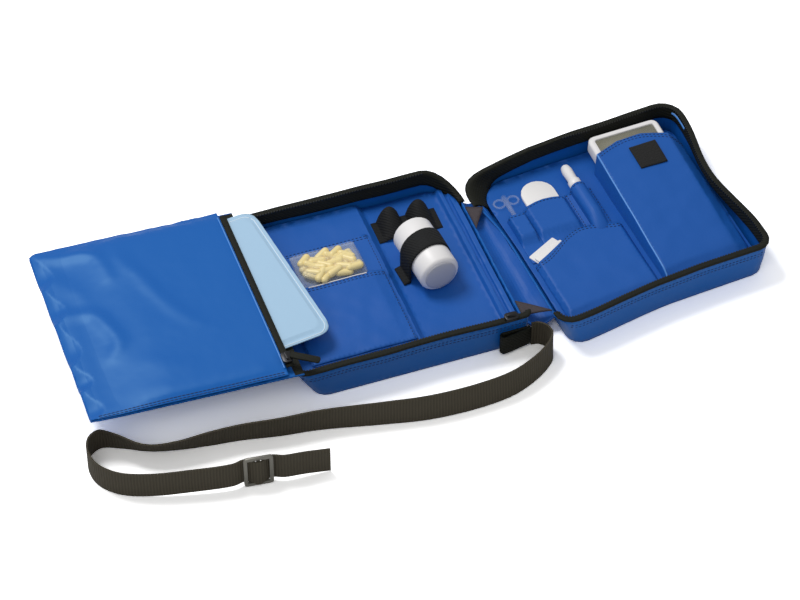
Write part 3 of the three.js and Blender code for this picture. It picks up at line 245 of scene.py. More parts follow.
def dress(
    node, body, material, spacing=None, fields=(), rounds=0, sink=0, angle=SHARP_ANGLE, bevel=None
):
    """Makes the visible piece for a CAD node: its copy, moved by the fields, on the node's body."""
    mesh = cad_copy(node, spacing, rounds, sink)
    for field in fields:
        shift(mesh, field)
    shade(mesh, angle)
    piece = new_object(node + "_piece", mesh, material)
    if bevel:
        edge = piece.modifiers.new("Moulded edge", "BEVEL")
        edge.width = bevel
        edge.segments = BEVEL_SEGMENTS
        edge.limit_method = "ANGLE"
        edge.angle_limit = math.radians(BEVEL_ANGLE)
        edge.harden_normals = True
    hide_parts(node)
    if body:
        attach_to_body(piece, body)
    return piece


# Cloth fields, shared by the pieces of one tray so that they keep together

WALL_FOOT = (2 * MM, 14 * MM)
WALL_WANDER = 34 * MM
PAD_FACE = (6 * MM, 10 * MM)
PAD_LUMP = 30 * MM
PAD_DIMPLE = 12 * MM
DIMPLE_SHARE = 0.4


def sway(point):
    """Sideways wander of the soft walls; none at the floor."""
    reach = sizes().sway * ease(point.z, *WALL_FOOT)
    return Vector((grain(point, WALL_WANDER, 3.1), grain(point, WALL_WANDER, 7.7), 0)) * reach


def swell(point):
    """Rise and fall of the padding; none below the lining's face."""
    reach = sizes().swell * ease(point.z, *PAD_FACE)
    plan = Vector((point.x, point.y, 0))
    lumps = grain(plan, PAD_LUMP, 1.3) + DIMPLE_SHARE * grain(plan, PAD_DIMPLE, 5.2)
    return Vector((0, 0, reach * lumps))


def ruffle(height, size, seed):
    """A field that lifts cloth unevenly, by up to that height, in lumps of about that size."""

    def lift(point):
        return Vector((0, 0, height * grain(point, size, seed)))

    return lift


# Materials

COATING_TINT = (0.5, 0.9, 1.0, 1.0)
LUMP_STRENGTH = 0.4
# Shares of the webbing's colour: painted shade in the rib hollows, painted highlight on the rib tops.
RIB_HOLLOW_SHADE = 0.82
RIB_TOP_HIGHLIGHT = 1.1


def plain(name, base, roughness, **inputs):
    """A Principled material; further shader inputs are named with underscores for spaces."""
    material = bpy.data.materials.new(name)
    material.use_nodes = True
    tree = material.node_tree
    shader = tree.nodes["Principled BSDF"]
    set_inputs(tree, shader, {"Base Color": (*base, 1), "Roughness": roughness})
    set_inputs(tree, shader, {key.replace("_", " "): value for key, value in inputs.items()})
    return material, tree, shader


def per_metre(pitch_mm):
    """A texture's scale for features of that pitch."""
    return 1 / (pitch_mm * MM)


def band_scale(pitch_mm):
    """A wave texture's scale for bands of that pitch: each unit of scale is a wave of 20 radians."""
    return math.tau / 20 * per_metre(pitch_mm)


def uneven(name, base, roughness, lump_mm, depth_mm, detail, **inputs):
    """A skin or cloth with soft lumps of about that size and depth, in millimetres."""
    material, tree, shader = plain(name, base, roughness, **inputs)
    place = add_node(tree, "ShaderNodeTexCoord").outputs["Object"]
    lumps = add_node(
        tree, "ShaderNodeTexNoise", {"Vector": place, "Scale": per_metre(lump_mm), "Detail": detail}
    )
    relief = add_node(
        tree,
        "ShaderNodeBump",
        {"Height": lumps.outputs["Fac"], "Distance": depth_mm * MM, "Strength": LUMP_STRENGTH},
    )
    set_inputs(tree, shader, {"Normal": relief.outputs["Normal"]})
    return material


def coated_nylon():
    """Plain-woven nylon with a glossy coating: saturated, with soft highlights on every small crease."""
    return uneven(
        "coated nylon",
        colours().nylon,
        0.4,
        lump_mm=30,
        depth_mm=1.6,
        detail=2.0,
        Specular_IOR_Level=0.4,
        Specular_Tint=COATING_TINT,
    )


def padded_lining():
    """The same cloth backed with foam: flatter and a little duller."""
    return uneven(
        "lining nylon",
        colours().lining,
        0.5,
        lump_mm=16,
        depth_mm=1.2,
        detail=3.0,
        Specular_IOR_Level=0.28,
    )


def gel_vinyl():
    """Welded vinyl over gel: light blue, satin, with soft lumps."""
    return uneven("light blue vinyl", colours().gel, 0.34, lump_mm=14, depth_mm=0.8, detail=2.0)


def ribbed_cloth(name, base, rib_mm, roughness):
    """Narrow woven tape: matt, with ribs; drawn a little coarser than the real weave so that they show."""
    material, tree, shader = plain(name, base, roughness, Specular_IOR_Level=0.25)
    ribs = add_node(
        tree,
        "ShaderNodeTexWave",
        {
            "Vector": add_node(tree, "ShaderNodeTexCoord").outputs["Object"],
            "Scale": band_scale(rib_mm),
            "Distortion": 1.5,
        },
        wave_type="BANDS",
        bands_direction="DIAGONAL",
    )
    relief = add_node(
        tree, "ShaderNodeBump", {"Height": ribs.outputs["Fac"], "Distance": 0.4 * MM, "Strength": 0.6}
    )
    set_inputs(tree, shader, {"Normal": relief.outputs["Normal"]})
    return material


def zip_cloth():
    """Woven zip tape: near black and matt."""
    return ribbed_cloth("zip tape", colours().zip_black, 1.6, 0.7)


def elastic_cloth():
    """Woven elastic: black, matt and ribbed."""
    return ribbed_cloth("woven elastic", colours().elastic, 1.8, 0.75)


def gusset_cloth():
    """Thin taffeta: dark grey with fine ribs."""
    return ribbed_cloth("gusset taffeta", colours().gusset, 1.2, 0.6)


def ribbed_webbing():
    """Olive webbing: ribs across it, from the strap's own UV map in metres, drawn coarser than real; painted
    shade in the hollows between ribs and a painted highlight on their tops.
    """
    base = colours().webbing
    material, tree, shader = plain("ribbed webbing", base, 0.8, Specular_IOR_Level=0.3)
    along = add_node(tree, "ShaderNodeUVMap", uv_map="UVMap").outputs["UV"]
    picks = add_node(
        tree,
        "ShaderNodeTexWave",
        {"Vector": along, "Scale": band_scale(2.4)},
        wave_type="BANDS",
        bands_direction="X",
    )
    # The colour follows the ribs' height: painted shade in the hollows, painted highlight on the tops.
    rib_shading = add_node(
        tree,
        "ShaderNodeMix",
        {
            "Factor": picks.outputs["Fac"],
            "A": (*[RIB_HOLLOW_SHADE * c for c in base], 1),
            "B": (*[RIB_TOP_HIGHLIGHT * c for c in base], 1),
        },
        data_type="RGBA",
    )
    relief = add_node(
        tree, "ShaderNodeBump", {"Height": picks.outputs["Fac"], "Distance": 0.5 * MM, "Strength": 0.7}
    )
    set_inputs(
        tree, shader, {"Base Color": rib_shading.outputs["Result"], "Normal": relief.outputs["Normal"]}
    )
    return material


def zip_teeth_material():
    """Moulded polyester teeth: near black with a slight gloss."""
    return plain("moulded zip teeth", [0.8 * c for c in colours().zip_black], 0.4)[0]


def plated_zinc():
    """Dark plated die casting: soft metal gloss."""
    return plain("dark plated zinc", linear("3a3a3c"), 0.35, Metallic=1.0)[0]


def white_polypropylene():
    """Moulded polypropylene: white with a soft gloss."""
    return plain("white polypropylene", colours().white, 0.38)[0]


def grey_disc():
    """Thin end of the cap, through which its inside shows: light grey and satin."""
    return plain("translucent polyethylene", linear("bfc0c8"), 0.3)[0]


def coated_paper():
    """Laminated paper: matt white."""
    return plain("laminated paper", colours().paper, 0.55)[0]


def clear_film():
    """Clear polythene film: nearly invisible except for its highlights."""
    return plain("clear polythene", linear("e8eef0"), 0.12, Alpha=0.1)[0]


def gelatin():
    """Gelatin capsule shells: pale yellow, satin."""
    return plain("gelatin", colours().capsule, 0.35)[0]


def liquid_crystal():
    """Reflective display: grey-green, satin."""
    return plain("liquid crystal display", colours().display, 0.3)[0]


def clear_acrylic():
    """Moulded window over the display: clear and glossy."""
    return plain("clear acrylic", linear("f2f4f2"), 0.06, Alpha=0.05)[0]


def keypad_rubber():
    """Moulded silicone buttons: matt grey-blue."""
    return plain("silicone rubber", linear("5d6a78"), 0.6)[0]


def hook_tape():
    """Hook fastener: matt black with fine stubble."""
    material, tree, shader = plain("hook fastener tape", linear("161616"), 0.9)
    place = add_node(tree, "ShaderNodeTexCoord").outputs["Object"]
    stubble = add_node(tree, "ShaderNodeTexVoronoi", {"Vector": place, "Scale": per_metre(1.6)})
    relief = add_node(
        tree,
        "ShaderNodeBump",
        {"Height": stubble.outputs["Distance"], "Distance": 0.6 * MM, "Strength": 0.8},
    )
    set_inputs(tree, shader, {"Normal": relief.outputs["Normal"]})
    return material


def moulded_nylon():
    """Strap slide moulded in nylon with metal powder: warm grey, satin."""
    return plain("moulded nylon", linear("77756d"), 0.35, Metallic=0.4)[0]


def sewing_thread():
    """Twisted polyester thread: darker than the cloth that it sews."""
    return plain("polyester thread", colours().thread, 0.6)[0]


def seam_highlight_nylon():
    """The same nylon folded over a cord, painted lighter all along: a painted highlight where it catches the
    light.
    """
    return plain("piped nylon painted highlight", colours().piping_highlight, 0.4)[0]


def welded_vinyl():
    """The gel pack's welded rim: thinner, so paler."""
    return plain("welded vinyl", linear("d3e6f4"), 0.35)[0]


FINISHES = {}


def finish(maker):
    """The one material that a maker gives, made once."""
    if maker not in FINISHES:
        FINISHES[maker] = maker()
    return FINISHES[maker]


# Geometry Nodes for what repeats


def start_tree(name, **inputs):
    """A node tree for geometry, a material and further named inputs, each given as its kind of socket."""
    tree = bpy.data.node_groups.new(name, "GeometryNodeTree")
    tree.is_modifier = True
    for label, kind in {"Geometry": "Geometry", **inputs, "Material": "Material"}.items():
        tree.interface.new_socket(label, in_out="INPUT", socket_type="NodeSocket" + kind)
    tree.interface.new_socket("Geometry", in_out="OUTPUT", socket_type="NodeSocketGeometry")
    return tree, add_node(tree, "NodeGroupInput").outputs


def end_tree(tree, given, placed):
    """Ends a tree: its copies are made real and get their material."""
    real = add_node(tree, "GeometryNodeRealizeInstances", {"Geometry": placed.outputs["Instances"]})
    done = add_node(
        tree,
        "GeometryNodeSetMaterial",
        {"Geometry": real.outputs["Geometry"], "Material": given["Material"]},
    )
    add_node(tree, "NodeGroupOutput", {"Geometry": done.outputs["Geometry"]})
    return tree


def row_tree(name, shape):
    """Copies of a bead or a block along edges: named inputs give their pitch and size."""
    tree, given = start_tree(name, Pitch="Float", Width="Float", Height="Float", Length="Float")
    line = add_node(tree, "GeometryNodeMeshToCurve", {"Mesh": given["Geometry"]})
    places = add_node(
        tree,
        "GeometryNodeCurveToPoints",
        {"Curve": line.outputs["Curve"], "Length": given["Pitch"]},
        mode="LENGTH",
    )
    if shape == "bead":
        one = add_node(tree, "GeometryNodeMeshUVSphere", {"Segments": 6, "Rings": 4, "Radius": 0.5})
    else:
        one = add_node(tree, "GeometryNodeMeshCube", {"Size": (1, 1, 1)})
    size = add_node(
        tree,
        "ShaderNodeCombineXYZ",
        {"X": given["Width"], "Y": given["Height"], "Z": given["Length"]},
    )
    placed = add_node(
        tree,
        "GeometryNodeInstanceOnPoints",
        {
            "Points": places.outputs["Points"],
            "Instance": one.outputs["Mesh"],
            "Rotation": places.outputs["Rotation"],
            "Scale": size.outputs["Vector"],
        },
    )
    return end_tree(tree, given, placed)


def plain_mesh(guide):
    """The evaluated mesh of a guide object, which is then removed."""
    bpy.context.scene.collection.objects.link(guide)
    depsgraph = bpy.context.evaluated_depsgraph_get()
    mesh = bpy.data.meshes.new_from_object(guide.evaluated_get(depsgraph))
    bpy.data.objects.remove(guide)
    return mesh


def grow(name, vertices, edges, tree, **values):
    """Runs a tree on a guide's points and edges, and keeps the result as a plain mesh."""
    mesh = bpy.data.meshes.new(name + "_guide")
    mesh.from_pydata(vertices, edges, [])
    guide = bpy.data.objects.new(name + "_guide", mesh)
    copies = guide.modifiers.new("Copies", "NODES")
    copies.node_group = tree
    for item in tree.interface.items_tree:
        if item.in_out == "INPUT" and item.name in values:
            copies[item.identifier] = values[item.name]
    return plain_mesh(guide)


def repeat_along(name, body, slot, lines, tree, material, **values):
    """Runs a row tree along polylines, as one piece on a body."""
    vertices = [p for line in lines for p in line]
    edges = []
    start = 0
    for line in lines:
        edges += [(start + i, start + i + 1) for i in range(len(line) - 1)]
        start += len(line)
    mesh = grow(name, vertices, edges, tree, Material=material, **values)
    return attach(new_object(name, mesh, material), body)


# Lines laid on surfaces

CAST_START = 0.3


def surface(*nodes):
    """A search tree of the faces of the visible pieces for these nodes."""
    vertices = []
    faces = []
    for node in nodes:
        mesh = bpy.data.objects[node + "_piece"].data
        faces += [[len(vertices) + i for i in face.vertices] for face in mesh.polygons]
        vertices += [v.co.copy() for v in mesh.vertices]
    return BVHTree.FromPolygons(vertices, faces)


def straight(start, end, steps=40):
    """Points from start to end, given in millimetres."""
    start, end = Vector(start) * MM, Vector(end) * MM
    return [start.lerp(end, i / steps) for i in range(steps + 1)]


def lay(tree, points, toward, lift, start=CAST_START):
    """Casts points onto a surface from that far before them; those that miss are left out."""
    toward = Vector(toward)
    line = []
    for point in points:
        place = tree.ray_cast(point - toward * start, toward)[0]
        if place:
            line.append(place - toward * lift)
    return line


def tube(name, body, points, radius, material):
    """A thin round cord through the points, as a plain mesh on a body."""
    data = bpy.data.curves.new(name, "CURVE")
    data.dimensions = "3D"
    data.bevel_depth = radius
    data.bevel_resolution = 2
    data.use_fill_caps = True
    spline = data.splines.new("POLY")
    spline.points.add(len(points) - 1)
    for knot, place in zip(spline.points, points):
        knot.co = (*place, 1)
    mesh = plain_mesh(bpy.data.objects.new(name + "_guide", data))
    mesh.shade_smooth()
    return attach(new_object(name, mesh, material), body)


# Camera and strap

CAMERA_TARGET = Vector((16.9, -10.3, 0)) * MM
CAMERA_AZIMUTH = -0.346
CAMERA_ELEVATION = 0.819
CAMERA_DISTANCE = 2.416
CAMERA_LENS = 135
CAMERA_SENSOR = 36
CAMERA_CLIP = 20

# Each point of the strap is a place on the floor, in millimetres, and its lean there, in degrees.
STRAP_ROUTE = [
    (98, -90.8, 0),
    (104, -92, 0),
    (109, -97, 0),
    (110.5, -104, 0),
    (108, -112, 4),
    (101, -119, 5),
    (89, -127, 6),
    (67, -136, 7),
    (37, -139.5, 7),
    (-4, -137.5, 5),
    (-42, -129.5, 1),
    (-88, -118.5, -5),
    (-119, -114, -9),
    (-149, -108, -13),
    (-173, -105, -17),
    (-199, -100.5, -27),
    (-218, -95, -30),
    (-238, -84.5, -17),
    (-253, -79, -8),
    (-263, -85, -3),
    (-267, -98, 0),
    (-264.5, -113, 0),
    (-253, -127, 0),
    (-231, -138, 0),
    (-202, -146, 0),
]
STRAP_TAIL = [(-112, -158.5, 0), (-93.5, -160.5, 0)]
SLIDE_PLACE = Vector((-149, -154.5, 0))
SLIDE_TURN = -0.12
SLIDE_STEP = 10
WEAVE = 2.4
# The strap is lifted off the floor at its slide, over so many points of its route.
STRAP_LIFT = 3.3
LIFT_REACH = 5
LIFT_FADE = 3
FLOOR_GAP = 0.3
STRAP_STEPS = 6
STRAP_CUTS = 6
STRAP_SHARP = 50


def through(points, steps):
    """A centripetal curve through the points, with that many steps from each to the next."""
    points = [Vector(p) for p in points]
    ends = [2 * points[0] - points[1], *points, 2 * points[-1] - points[-2]]
    line = []
    for before, start, end, after in zip(ends, ends[1:], ends[2:], ends[3:]):
        d0, d1, d2 = (
            (b - a).length ** 0.5 for a, b in ((before, start), (start, end), (end, after))
        )
        leave = ((start - before) / d0 - (end - before) / (d0 + d1) + (end - start) / d1) * d1
        arrive = ((end - start) / d1 - (after - start) / (d1 + d2) + (after - end) / d2) * d1
        for step in range(steps):
            t = step / steps
            line.append(
                start * (2 * t**3 - 3 * t**2 + 1)
                + leave * (t**3 - 2 * t**2 + t)
                + end * (3 * t**2 - 2 * t**3)
                + arrive * (t**3 - t**2)
            )
    return [*line, points[-1]]


def strap_line(steps):
    """Foot places and leans along the strap, with its weave through the slide."""
    turn = Matrix.Rotation(SLIDE_TURN, 3, "Z")
    weave = [
        SLIDE_PLACE + turn @ Vector((bar * SLIDE_STEP, off, 0))
        for bar, off in ((-2, 0), (-1, WEAVE), (0, -WEAVE), (1, WEAVE), (2, 0))
    ]
    return through([*STRAP_ROUTE, *weave, *STRAP_TAIL], steps)


def strap_rings():
    """Rings of points round the webbing, from the tab to the cut end, and the line along its middle."""
    width = sizes().webbing_width
    half = sizes().webbing_thick / 2
    line = strap_line(STRAP_STEPS)
    slide_index = (len(STRAP_ROUTE) + 2) * STRAP_STEPS
    across = [k / STRAP_CUTS for k in range(STRAP_CUTS + 1)]
    rings = []
    path = []
    for i, place in enumerate(line):
        before, after = line[max(0, i - 1)], line[min(len(line) - 1, i + 1)]
        along = Vector((after.x - before.x, after.y - before.y, 0)).normalized()
        side = Vector((-along.y, along.x, 0))
        lean = math.radians(place.z)
        away = 1 if side.y > 0 else -1
        up = Vector((0, 0, math.cos(lean))) + side * (away * math.sin(lean))
        thick = side * math.cos(lean) + Vector((0, 0, -away * math.sin(lean)))
        lift = STRAP_LIFT * ease(LIFT_REACH - abs(i - slide_index) / STRAP_STEPS, 0, LIFT_FADE)
        foot = Vector((place.x, place.y, FLOOR_GAP + lift)) * MM
        foot.z += half * abs(math.sin(lean))
        front = [foot + up * (width * s) - thick * half for s in across]
        rear = [foot + up * (width * s) + thick * half for s in reversed(across)]
        rings.append(front + rear)
        path.append(foot + up * (width / 2))
    return rings, path


def webbing_mesh(rings, run):
    """A closed band through the rings, with a UV map in metres along and across it."""
    count = len(rings[0])
    faces = []
    for i in range(len(rings) - 1):
        for k in range(count):
            a, b = i * count + k, i * count + (k + 1) % count
            faces.append((b, a, a + count, b + count))
    faces.append(tuple(range(count)))
    faces.append(tuple(reversed(range((len(rings) - 1) * count, len(rings) * count))))
    mesh = bpy.data.meshes.new("webbing")
    mesh.from_pydata([p for ring in rings for p in ring], [], faces)
    uv = mesh.uv_layers.new(name="UVMap")
    for loop in mesh.loops:
        ring, k = divmod(loop.vertex_index, count)
        rise = sizes().webbing_width * min(k, count - 1 - k) / STRAP_CUTS
        uv.data[loop.index].uv = (run[ring], rise)
    shape = bmesh.new()
    shape.from_mesh(mesh)
    bmesh.ops.recalc_face_normals(shape, faces=shape.faces)
    shape.to_mesh(mesh)
    shape.free()
    shade(mesh, STRAP_SHARP)
    return mesh


class CASE_OT_camera(bpy.types.Operator):
    """Sets the camera at the photograph's viewing angle"""

    bl_idname = "case.camera"
    bl_label = "Camera"

    def execute(self, context):
        data = bpy.data.cameras.new("Camera")
        data.lens = CAMERA_LENS
        data.sensor_width = CAMERA_SENSOR
        data.clip_end = CAMERA_CLIP
        camera = bpy.data.objects.new("Camera", data)
        level = math.cos(CAMERA_ELEVATION)
        x = math.sin(CAMERA_AZIMUTH) * level
        y = -math.cos(CAMERA_AZIMUTH) * level
        back = Vector((x, y, math.sin(CAMERA_ELEVATION)))
        camera.location = CAMERA_TARGET + CAMERA_DISTANCE * back
        camera.rotation_euler = back.to_track_quat("Z", "Y").to_euler()
        context.scene.collection.objects.link(camera)
        context.scene.camera = camera
        return {"FINISHED"}


class CASE_OT_strap(bpy.types.Operator):
    """Webbing that stands on its edge, woven through its slide, and the sewn tab that it leaves"""

    bl_idname = "case.strap"
    bl_label = "Strap"

    def execute(self, context):
        rings, path = strap_rings()
        run = [0.0]
        for a, b in zip(path, path[1:]):
            run.append(run[-1] + (b - a).length)
        strap = new_object("carrying_strap", webbing_mesh(rings, run), finish(ribbed_webbing))
        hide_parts("strap_webbing")
        attach(strap, "base")
        slide = dress("strap_slide", "base", finish(moulded_nylon), bevel=0.5 * MM)
        dress("strap_tab", "base", finish(zip_cloth), 4 * MM)
        return {"FINISHED"}


# Trays

LID_CORNER = Vector((119, -100, 0)) * MM
LID_TURN = Matrix.Rotation(math.radians(-5), 3, "Z")
LID_BACK_CORNER = Vector((4, 176, 0)) * MM
LID_FRONT_CORNER = Vector((0, 4, 0)) * MM
BACK_PULL = Vector((-21, -4, 0)) * MM
BACK_REACH = (4 * MM, 66 * MM)
FRONT_PULL = Vector((-2, -9, 0)) * MM
FRONT_REACH = (4 * MM, 110 * MM)
LID_WALL = (9 * MM, 30 * MM)
FAR_WALL = (140 * MM, 186 * MM)
LID_SAG = 9 * MM
SAG_START = 22 * MM
SAG_LENGTH = 140 * MM
TEETH_HEIGHT = 34.3 * MM
RIM_STEPS = 360
RIM_BREAK = 12 * MM
SPINE_GATHER = (1.2 * MM, 16 * MM, 4.4)


def slump(point):
    """The lid's soft walls: the far one sags, and the corners are drawn to the base and to the front."""
    own = LID_TURN @ (point - LID_CORNER)
    height = ease(point.z, *LID_WALL)
    far = ease(own.x, *FAR_WALL)
    along = math.sin(math.pi * min(1.0, max(0.0, (own.y - SAG_START) / SAG_LENGTH))) ** 2
    own.z = 0
    back = 1 - ease((own - LID_BACK_CORNER).length, *BACK_REACH)
    front = 1 - ease((own - LID_FRONT_CORNER).length, *FRONT_REACH)
    inward = Vector((-LID_SAG * far * along, 0, 0))
    return height * (inward + back * BACK_PULL) + front * FRONT_PULL


def rim_lines(node):
    """Lines round the inside of a zip tape's bead, broken where the tape dips towards the spine."""
    tree = surface(node)
    low, high = box_of(node)
    middle = (low + high) / 2
    middle.z = TEETH_HEIGHT
    lines = [[]]
    for i in range(RIM_STEPS):
        angle = math.tau * i / RIM_STEPS
        place = tree.ray_cast(middle, Vector((math.cos(angle), math.sin(angle), 0)))[0]
        if not place:
            continue
        if lines[-1] and (place - lines[-1][-1]).length > RIM_BREAK:
            lines.append([])
        lines[-1].append(place)
    return [line for line in lines if len(line) > 2]


class CASE_OT_trays(bpy.types.Operator):
    """Soft tray walls, their zip tapes with teeth, and padded linings"""

    bl_idname = "case.trays"
    bl_label = "Trays"

    def execute(self, context):
        teeth = row_tree("Zip teeth", "block")
        for side, fields in (("base", [sway]), ("lid", [sway, slump])):
            dress(side + "_shell", side, finish(coated_nylon), 5 * MM, fields)
            dress(side + "_zip_tape", side, finish(zip_cloth), 5 * MM, fields)
            panel = dress(
                side + "_panel", side, finish(padded_lining), 6 * MM, [*fields, swell]
            )
            repeat_along(
                side + "_zip_teeth",
                side,
                "black_zip_tape",
                rim_lines(side + "_zip_tape"),
                teeth,
                finish(zip_teeth_material),
                Pitch=sizes().tooth_pitch,
                Width=sizes().tooth_width,
                Height=sizes().tooth_width,
                Length=sizes().tooth_width,
            )
        dress("main_zip_slider", "base", finish(plated_zinc), bevel=0.4 * MM)
        return {"FINISHED"}


class CASE_OT_spine(bpy.types.Operator):
    """Soft fold between the trays, with the gussets at its ends"""

    bl_idname = "case.spine"
    bl_label = "Spine"

    def execute(self, context):
        for node, slot, maker in (
            ("spine_panel", "blue_nylon", padded_lining),
            ("gusset_front", "black_elastic", gusset_cloth),
            ("gusset_back", "black_elastic", gusset_cloth),
        ):
            piece = dress(node, None, finish(maker), 4 * MM, [ruffle(*SPINE_GATHER)])
            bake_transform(piece)
        return {"FINISHED"}


# Base contents

BASE_PUCKER = (0.5 * MM, 13 * MM, 8.8)
BAG_MARGIN = 1 * MM
BAG_HEM = ((-55, 5.2, 0), (-6, 5.2, 0))
CAPSULE_COUNT = (6, 6)
CAPSULE_RADIUS = 3.1 * MM
CAPSULE_BODY = 9 * MM
CAPSULE_LAYER = 2.2 * MM
CAPSULE_WANDER = 4 * MM
CAPSULE_SEED = 4
# Capsules lie nearly flat and point any way between these two turns, in radians.
CAPSULE_TURNS = ((1.4, 0.0, 0.7), (1.75, 0.0, 2.5))


def capsule_tree():
    """Capsules, each a tube with round ends, on the guide's points: named inputs give size and seed."""
    tree, given = start_tree("Capsules", Radius="Float", Body="Float", Seed="Int")
    barrel = add_node(
        tree,
        "GeometryNodeMeshCylinder",
        {"Vertices": 12, "Radius": given["Radius"], "Depth": given["Body"]},
        fill_type="NONE",
    )
    ball = add_node(
        tree, "GeometryNodeMeshUVSphere", {"Segments": 12, "Rings": 8, "Radius": given["Radius"]}
    )
    one = add_node(tree, "GeometryNodeJoinGeometry")
    tree.links.new(barrel.outputs["Mesh"], one.inputs["Geometry"])
    for share in (0.5, -0.5):
        height = add_node(tree, "ShaderNodeMath", {0: given["Body"], 1: share}, operation="MULTIPLY")
        offset = add_node(tree, "ShaderNodeCombineXYZ", {"Z": height.outputs["Value"]})
        end = add_node(
            tree,
            "GeometryNodeTransform",
            {"Geometry": ball.outputs["Mesh"], "Translation": offset.outputs["Vector"]},
        )
        tree.links.new(end.outputs["Geometry"], one.inputs["Geometry"])
    turn = add_node(
        tree,
        "FunctionNodeRandomValue",
        {"Min": CAPSULE_TURNS[0], "Max": CAPSULE_TURNS[1], "Seed": given["Seed"]},
        data_type="FLOAT_VECTOR",
    )
    placed = add_node(
        tree,
        "GeometryNodeInstanceOnPoints",
        {
            "Points": given["Geometry"],
            "Instance": one.outputs["Geometry"],
            "Rotation": turn.outputs["Value"],
        },
    )
    return end_tree(tree, given, placed)


class CASE_OT_base_pockets(bpy.types.Operator):
    """Flat pockets in the base, the clear bag and its capsules"""

    bl_idname = "case.base_pockets"
    bl_label = "Base pockets and bag"

    def execute(self, context):
        pucker = ruffle(*BASE_PUCKER)
        for node, spacing, fields in (
            ("base_pocket_upper", 5 * MM, [swell]),
            ("base_pocket_lower", 4 * MM, [swell, pucker]),
        ):
            pocket = dress(node, "base", finish(padded_lining), spacing, fields)
        dress("tablet_bag", "base", finish(clear_film), 3 * MM, [pucker], rounds=2)
        self.fill_bag()
        # A white cord along the bag's hem: a painted highlight where the film's fold catches the light.
        hem = lay(surface("base_pocket_lower"), straight(*BAG_HEM), DOWN, 0.3 * MM)
        tube("tablet_bag_hem_highlight", "base", hem, 0.4 * MM, finish(coated_paper))
        return {"FINISHED"}

    def fill_bag(self):
        """Piles capsules where their solid lies in the bag."""
        low, high = box_of("capsules")
        across, deep = CAPSULE_COUNT
        inset = CAPSULE_BODY / 2 + BAG_MARGIN
        places = []
        for i in range(across):
            for k in range(deep):
                spot = Vector((i / (across - 1), k / (deep - 1), 0))
                wander = Vector((grain(spot, 0.31, 2.0), grain(spot, 0.27, 9.0), 0))
                x = low.x + inset + spot.x * (high.x - low.x - 2 * inset)
                y = low.y + BAG_MARGIN + spot.y * (high.y - low.y - 2 * BAG_MARGIN)
                z = low.z + CAPSULE_RADIUS + ((i + k) % 2) * CAPSULE_LAYER
                places.append(Vector((x, y, z)) + wander * CAPSULE_WANDER)
        mesh = grow(
            "capsule_pile",
            places,
            [],
            capsule_tree(),
            Radius=CAPSULE_RADIUS,
            Body=CAPSULE_BODY,
            Seed=CAPSULE_SEED,
            Material=finish(gelatin),
        )
        mesh.shade_smooth()
        capsules = new_object("capsule_pile", mesh, finish(gelatin))
        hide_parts("capsules")
        attach(capsules, "base")


BOTTLE_END = Vector((46.5, -24, 31.8)) * MM
BOTTLE_TURN = math.radians(6)
DISC_RADIUS = 13.5 * MM
DISC_BULGE = 0.12
BAND_MIDDLE = 5 * MM
BAND_SPREAD = 0.4
BAND_SHIFT = 1.5 * MM
LOOP_BOX = box_of("spare_elastic_loops")
LOOP_REACH = 9 * MM
LOOP_FALL = 0.85
LOOP_CURVE = 1.5


def widen(point):
    """Spreads the elastic along the bottle."""
    return Vector((0, BAND_SPREAD * (point.y - BAND_MIDDLE) - BAND_SHIFT, 0))


def droop(point):
    """Lets the front of the empty loops fall forward to the lining."""
    low, high = LOOP_BOX
    front = 1 - (point.y - low.y) / (high.y - low.y)
    return Vector((0, -LOOP_REACH * front, -LOOP_FALL * front**LOOP_CURVE * (point.z - low.z)))


class CASE_OT_bottle(bpy.types.Operator):
    """Pill bottle, its cap with a translucent end, its elastic and the empty loops behind it"""

    bl_idname = "case.bottle"
    bl_label = "Bottle and elastics"

    def execute(self, context):
        dress("bottle_body", "bottle", finish(white_polypropylene), bevel=0.8 * MM)
        dress("bottle_cap", "bottle_cap", finish(white_polypropylene), bevel=1.0 * MM)
        for node, field in (("bottle_elastic", widen), ("spare_elastic_loops", droop)):
            dress(node, "base", finish(elastic_cloth), 3 * MM, [field])
        disc = bmesh.new()
        bmesh.ops.create_uvsphere(disc, u_segments=32, v_segments=16, radius=DISC_RADIUS)
        flatten = Matrix.Diagonal((1, DISC_BULGE, 1, 1)) @ Matrix.Rotation(math.pi / 2, 4, "X")
        bmesh.ops.transform(disc, matrix=flatten, verts=disc.verts)
        turn = Matrix.Translation(BOTTLE_END) @ Matrix.Rotation(BOTTLE_TURN, 4, "Z")
        bmesh.ops.transform(disc, matrix=turn, verts=disc.verts)
        mesh = bpy.data.meshes.new("cap_end")
        disc.to_mesh(mesh)
        disc.free()
        mesh.shade_smooth()
        attach(new_object("bottle_cap_end", mesh, finish(grey_disc)), "bottle_cap")
        return {"FINISHED"}


# Pouch

POUCH_BOX = box_of("pouch_front")
POUCH_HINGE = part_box("pouch_back")[1]
POUCH_SKEW = 0.048
POUCH_RELAX = 80
POUCH_SHARP = 60

# Each fold is a line of places, as shares of the pouch from its far edge and from its back edge, then its
# height and half width in millimetres.
FOLDS = [
    ([(0.03, 0.02), (0.14, 0.06), (0.25, 0.07), (0.315, 0.11), (0.34, 0.24)], 1.7, 7),
    ([(0.42, 0.11), (0.443, 0.187), (0.487, 0.27), (0.54, 0.41), (0.604, 0.52), (0.68, 0.62)], 0.9, 7),
    ([(0.06, 0.40), (0.194, 0.43), (0.236, 0.5), (0.268, 0.62), (0.216, 0.69)], 1.7, 7),
    ([(0.10, 0.20), (0.16, 0.29), (0.19, 0.38)], 0.7, 8),
    ([(0.30, 0.74), (0.45, 0.80), (0.55, 0.84)], 0.5, 10),
]
FOLD_STEPS = 3
FOLD_REACH = 3

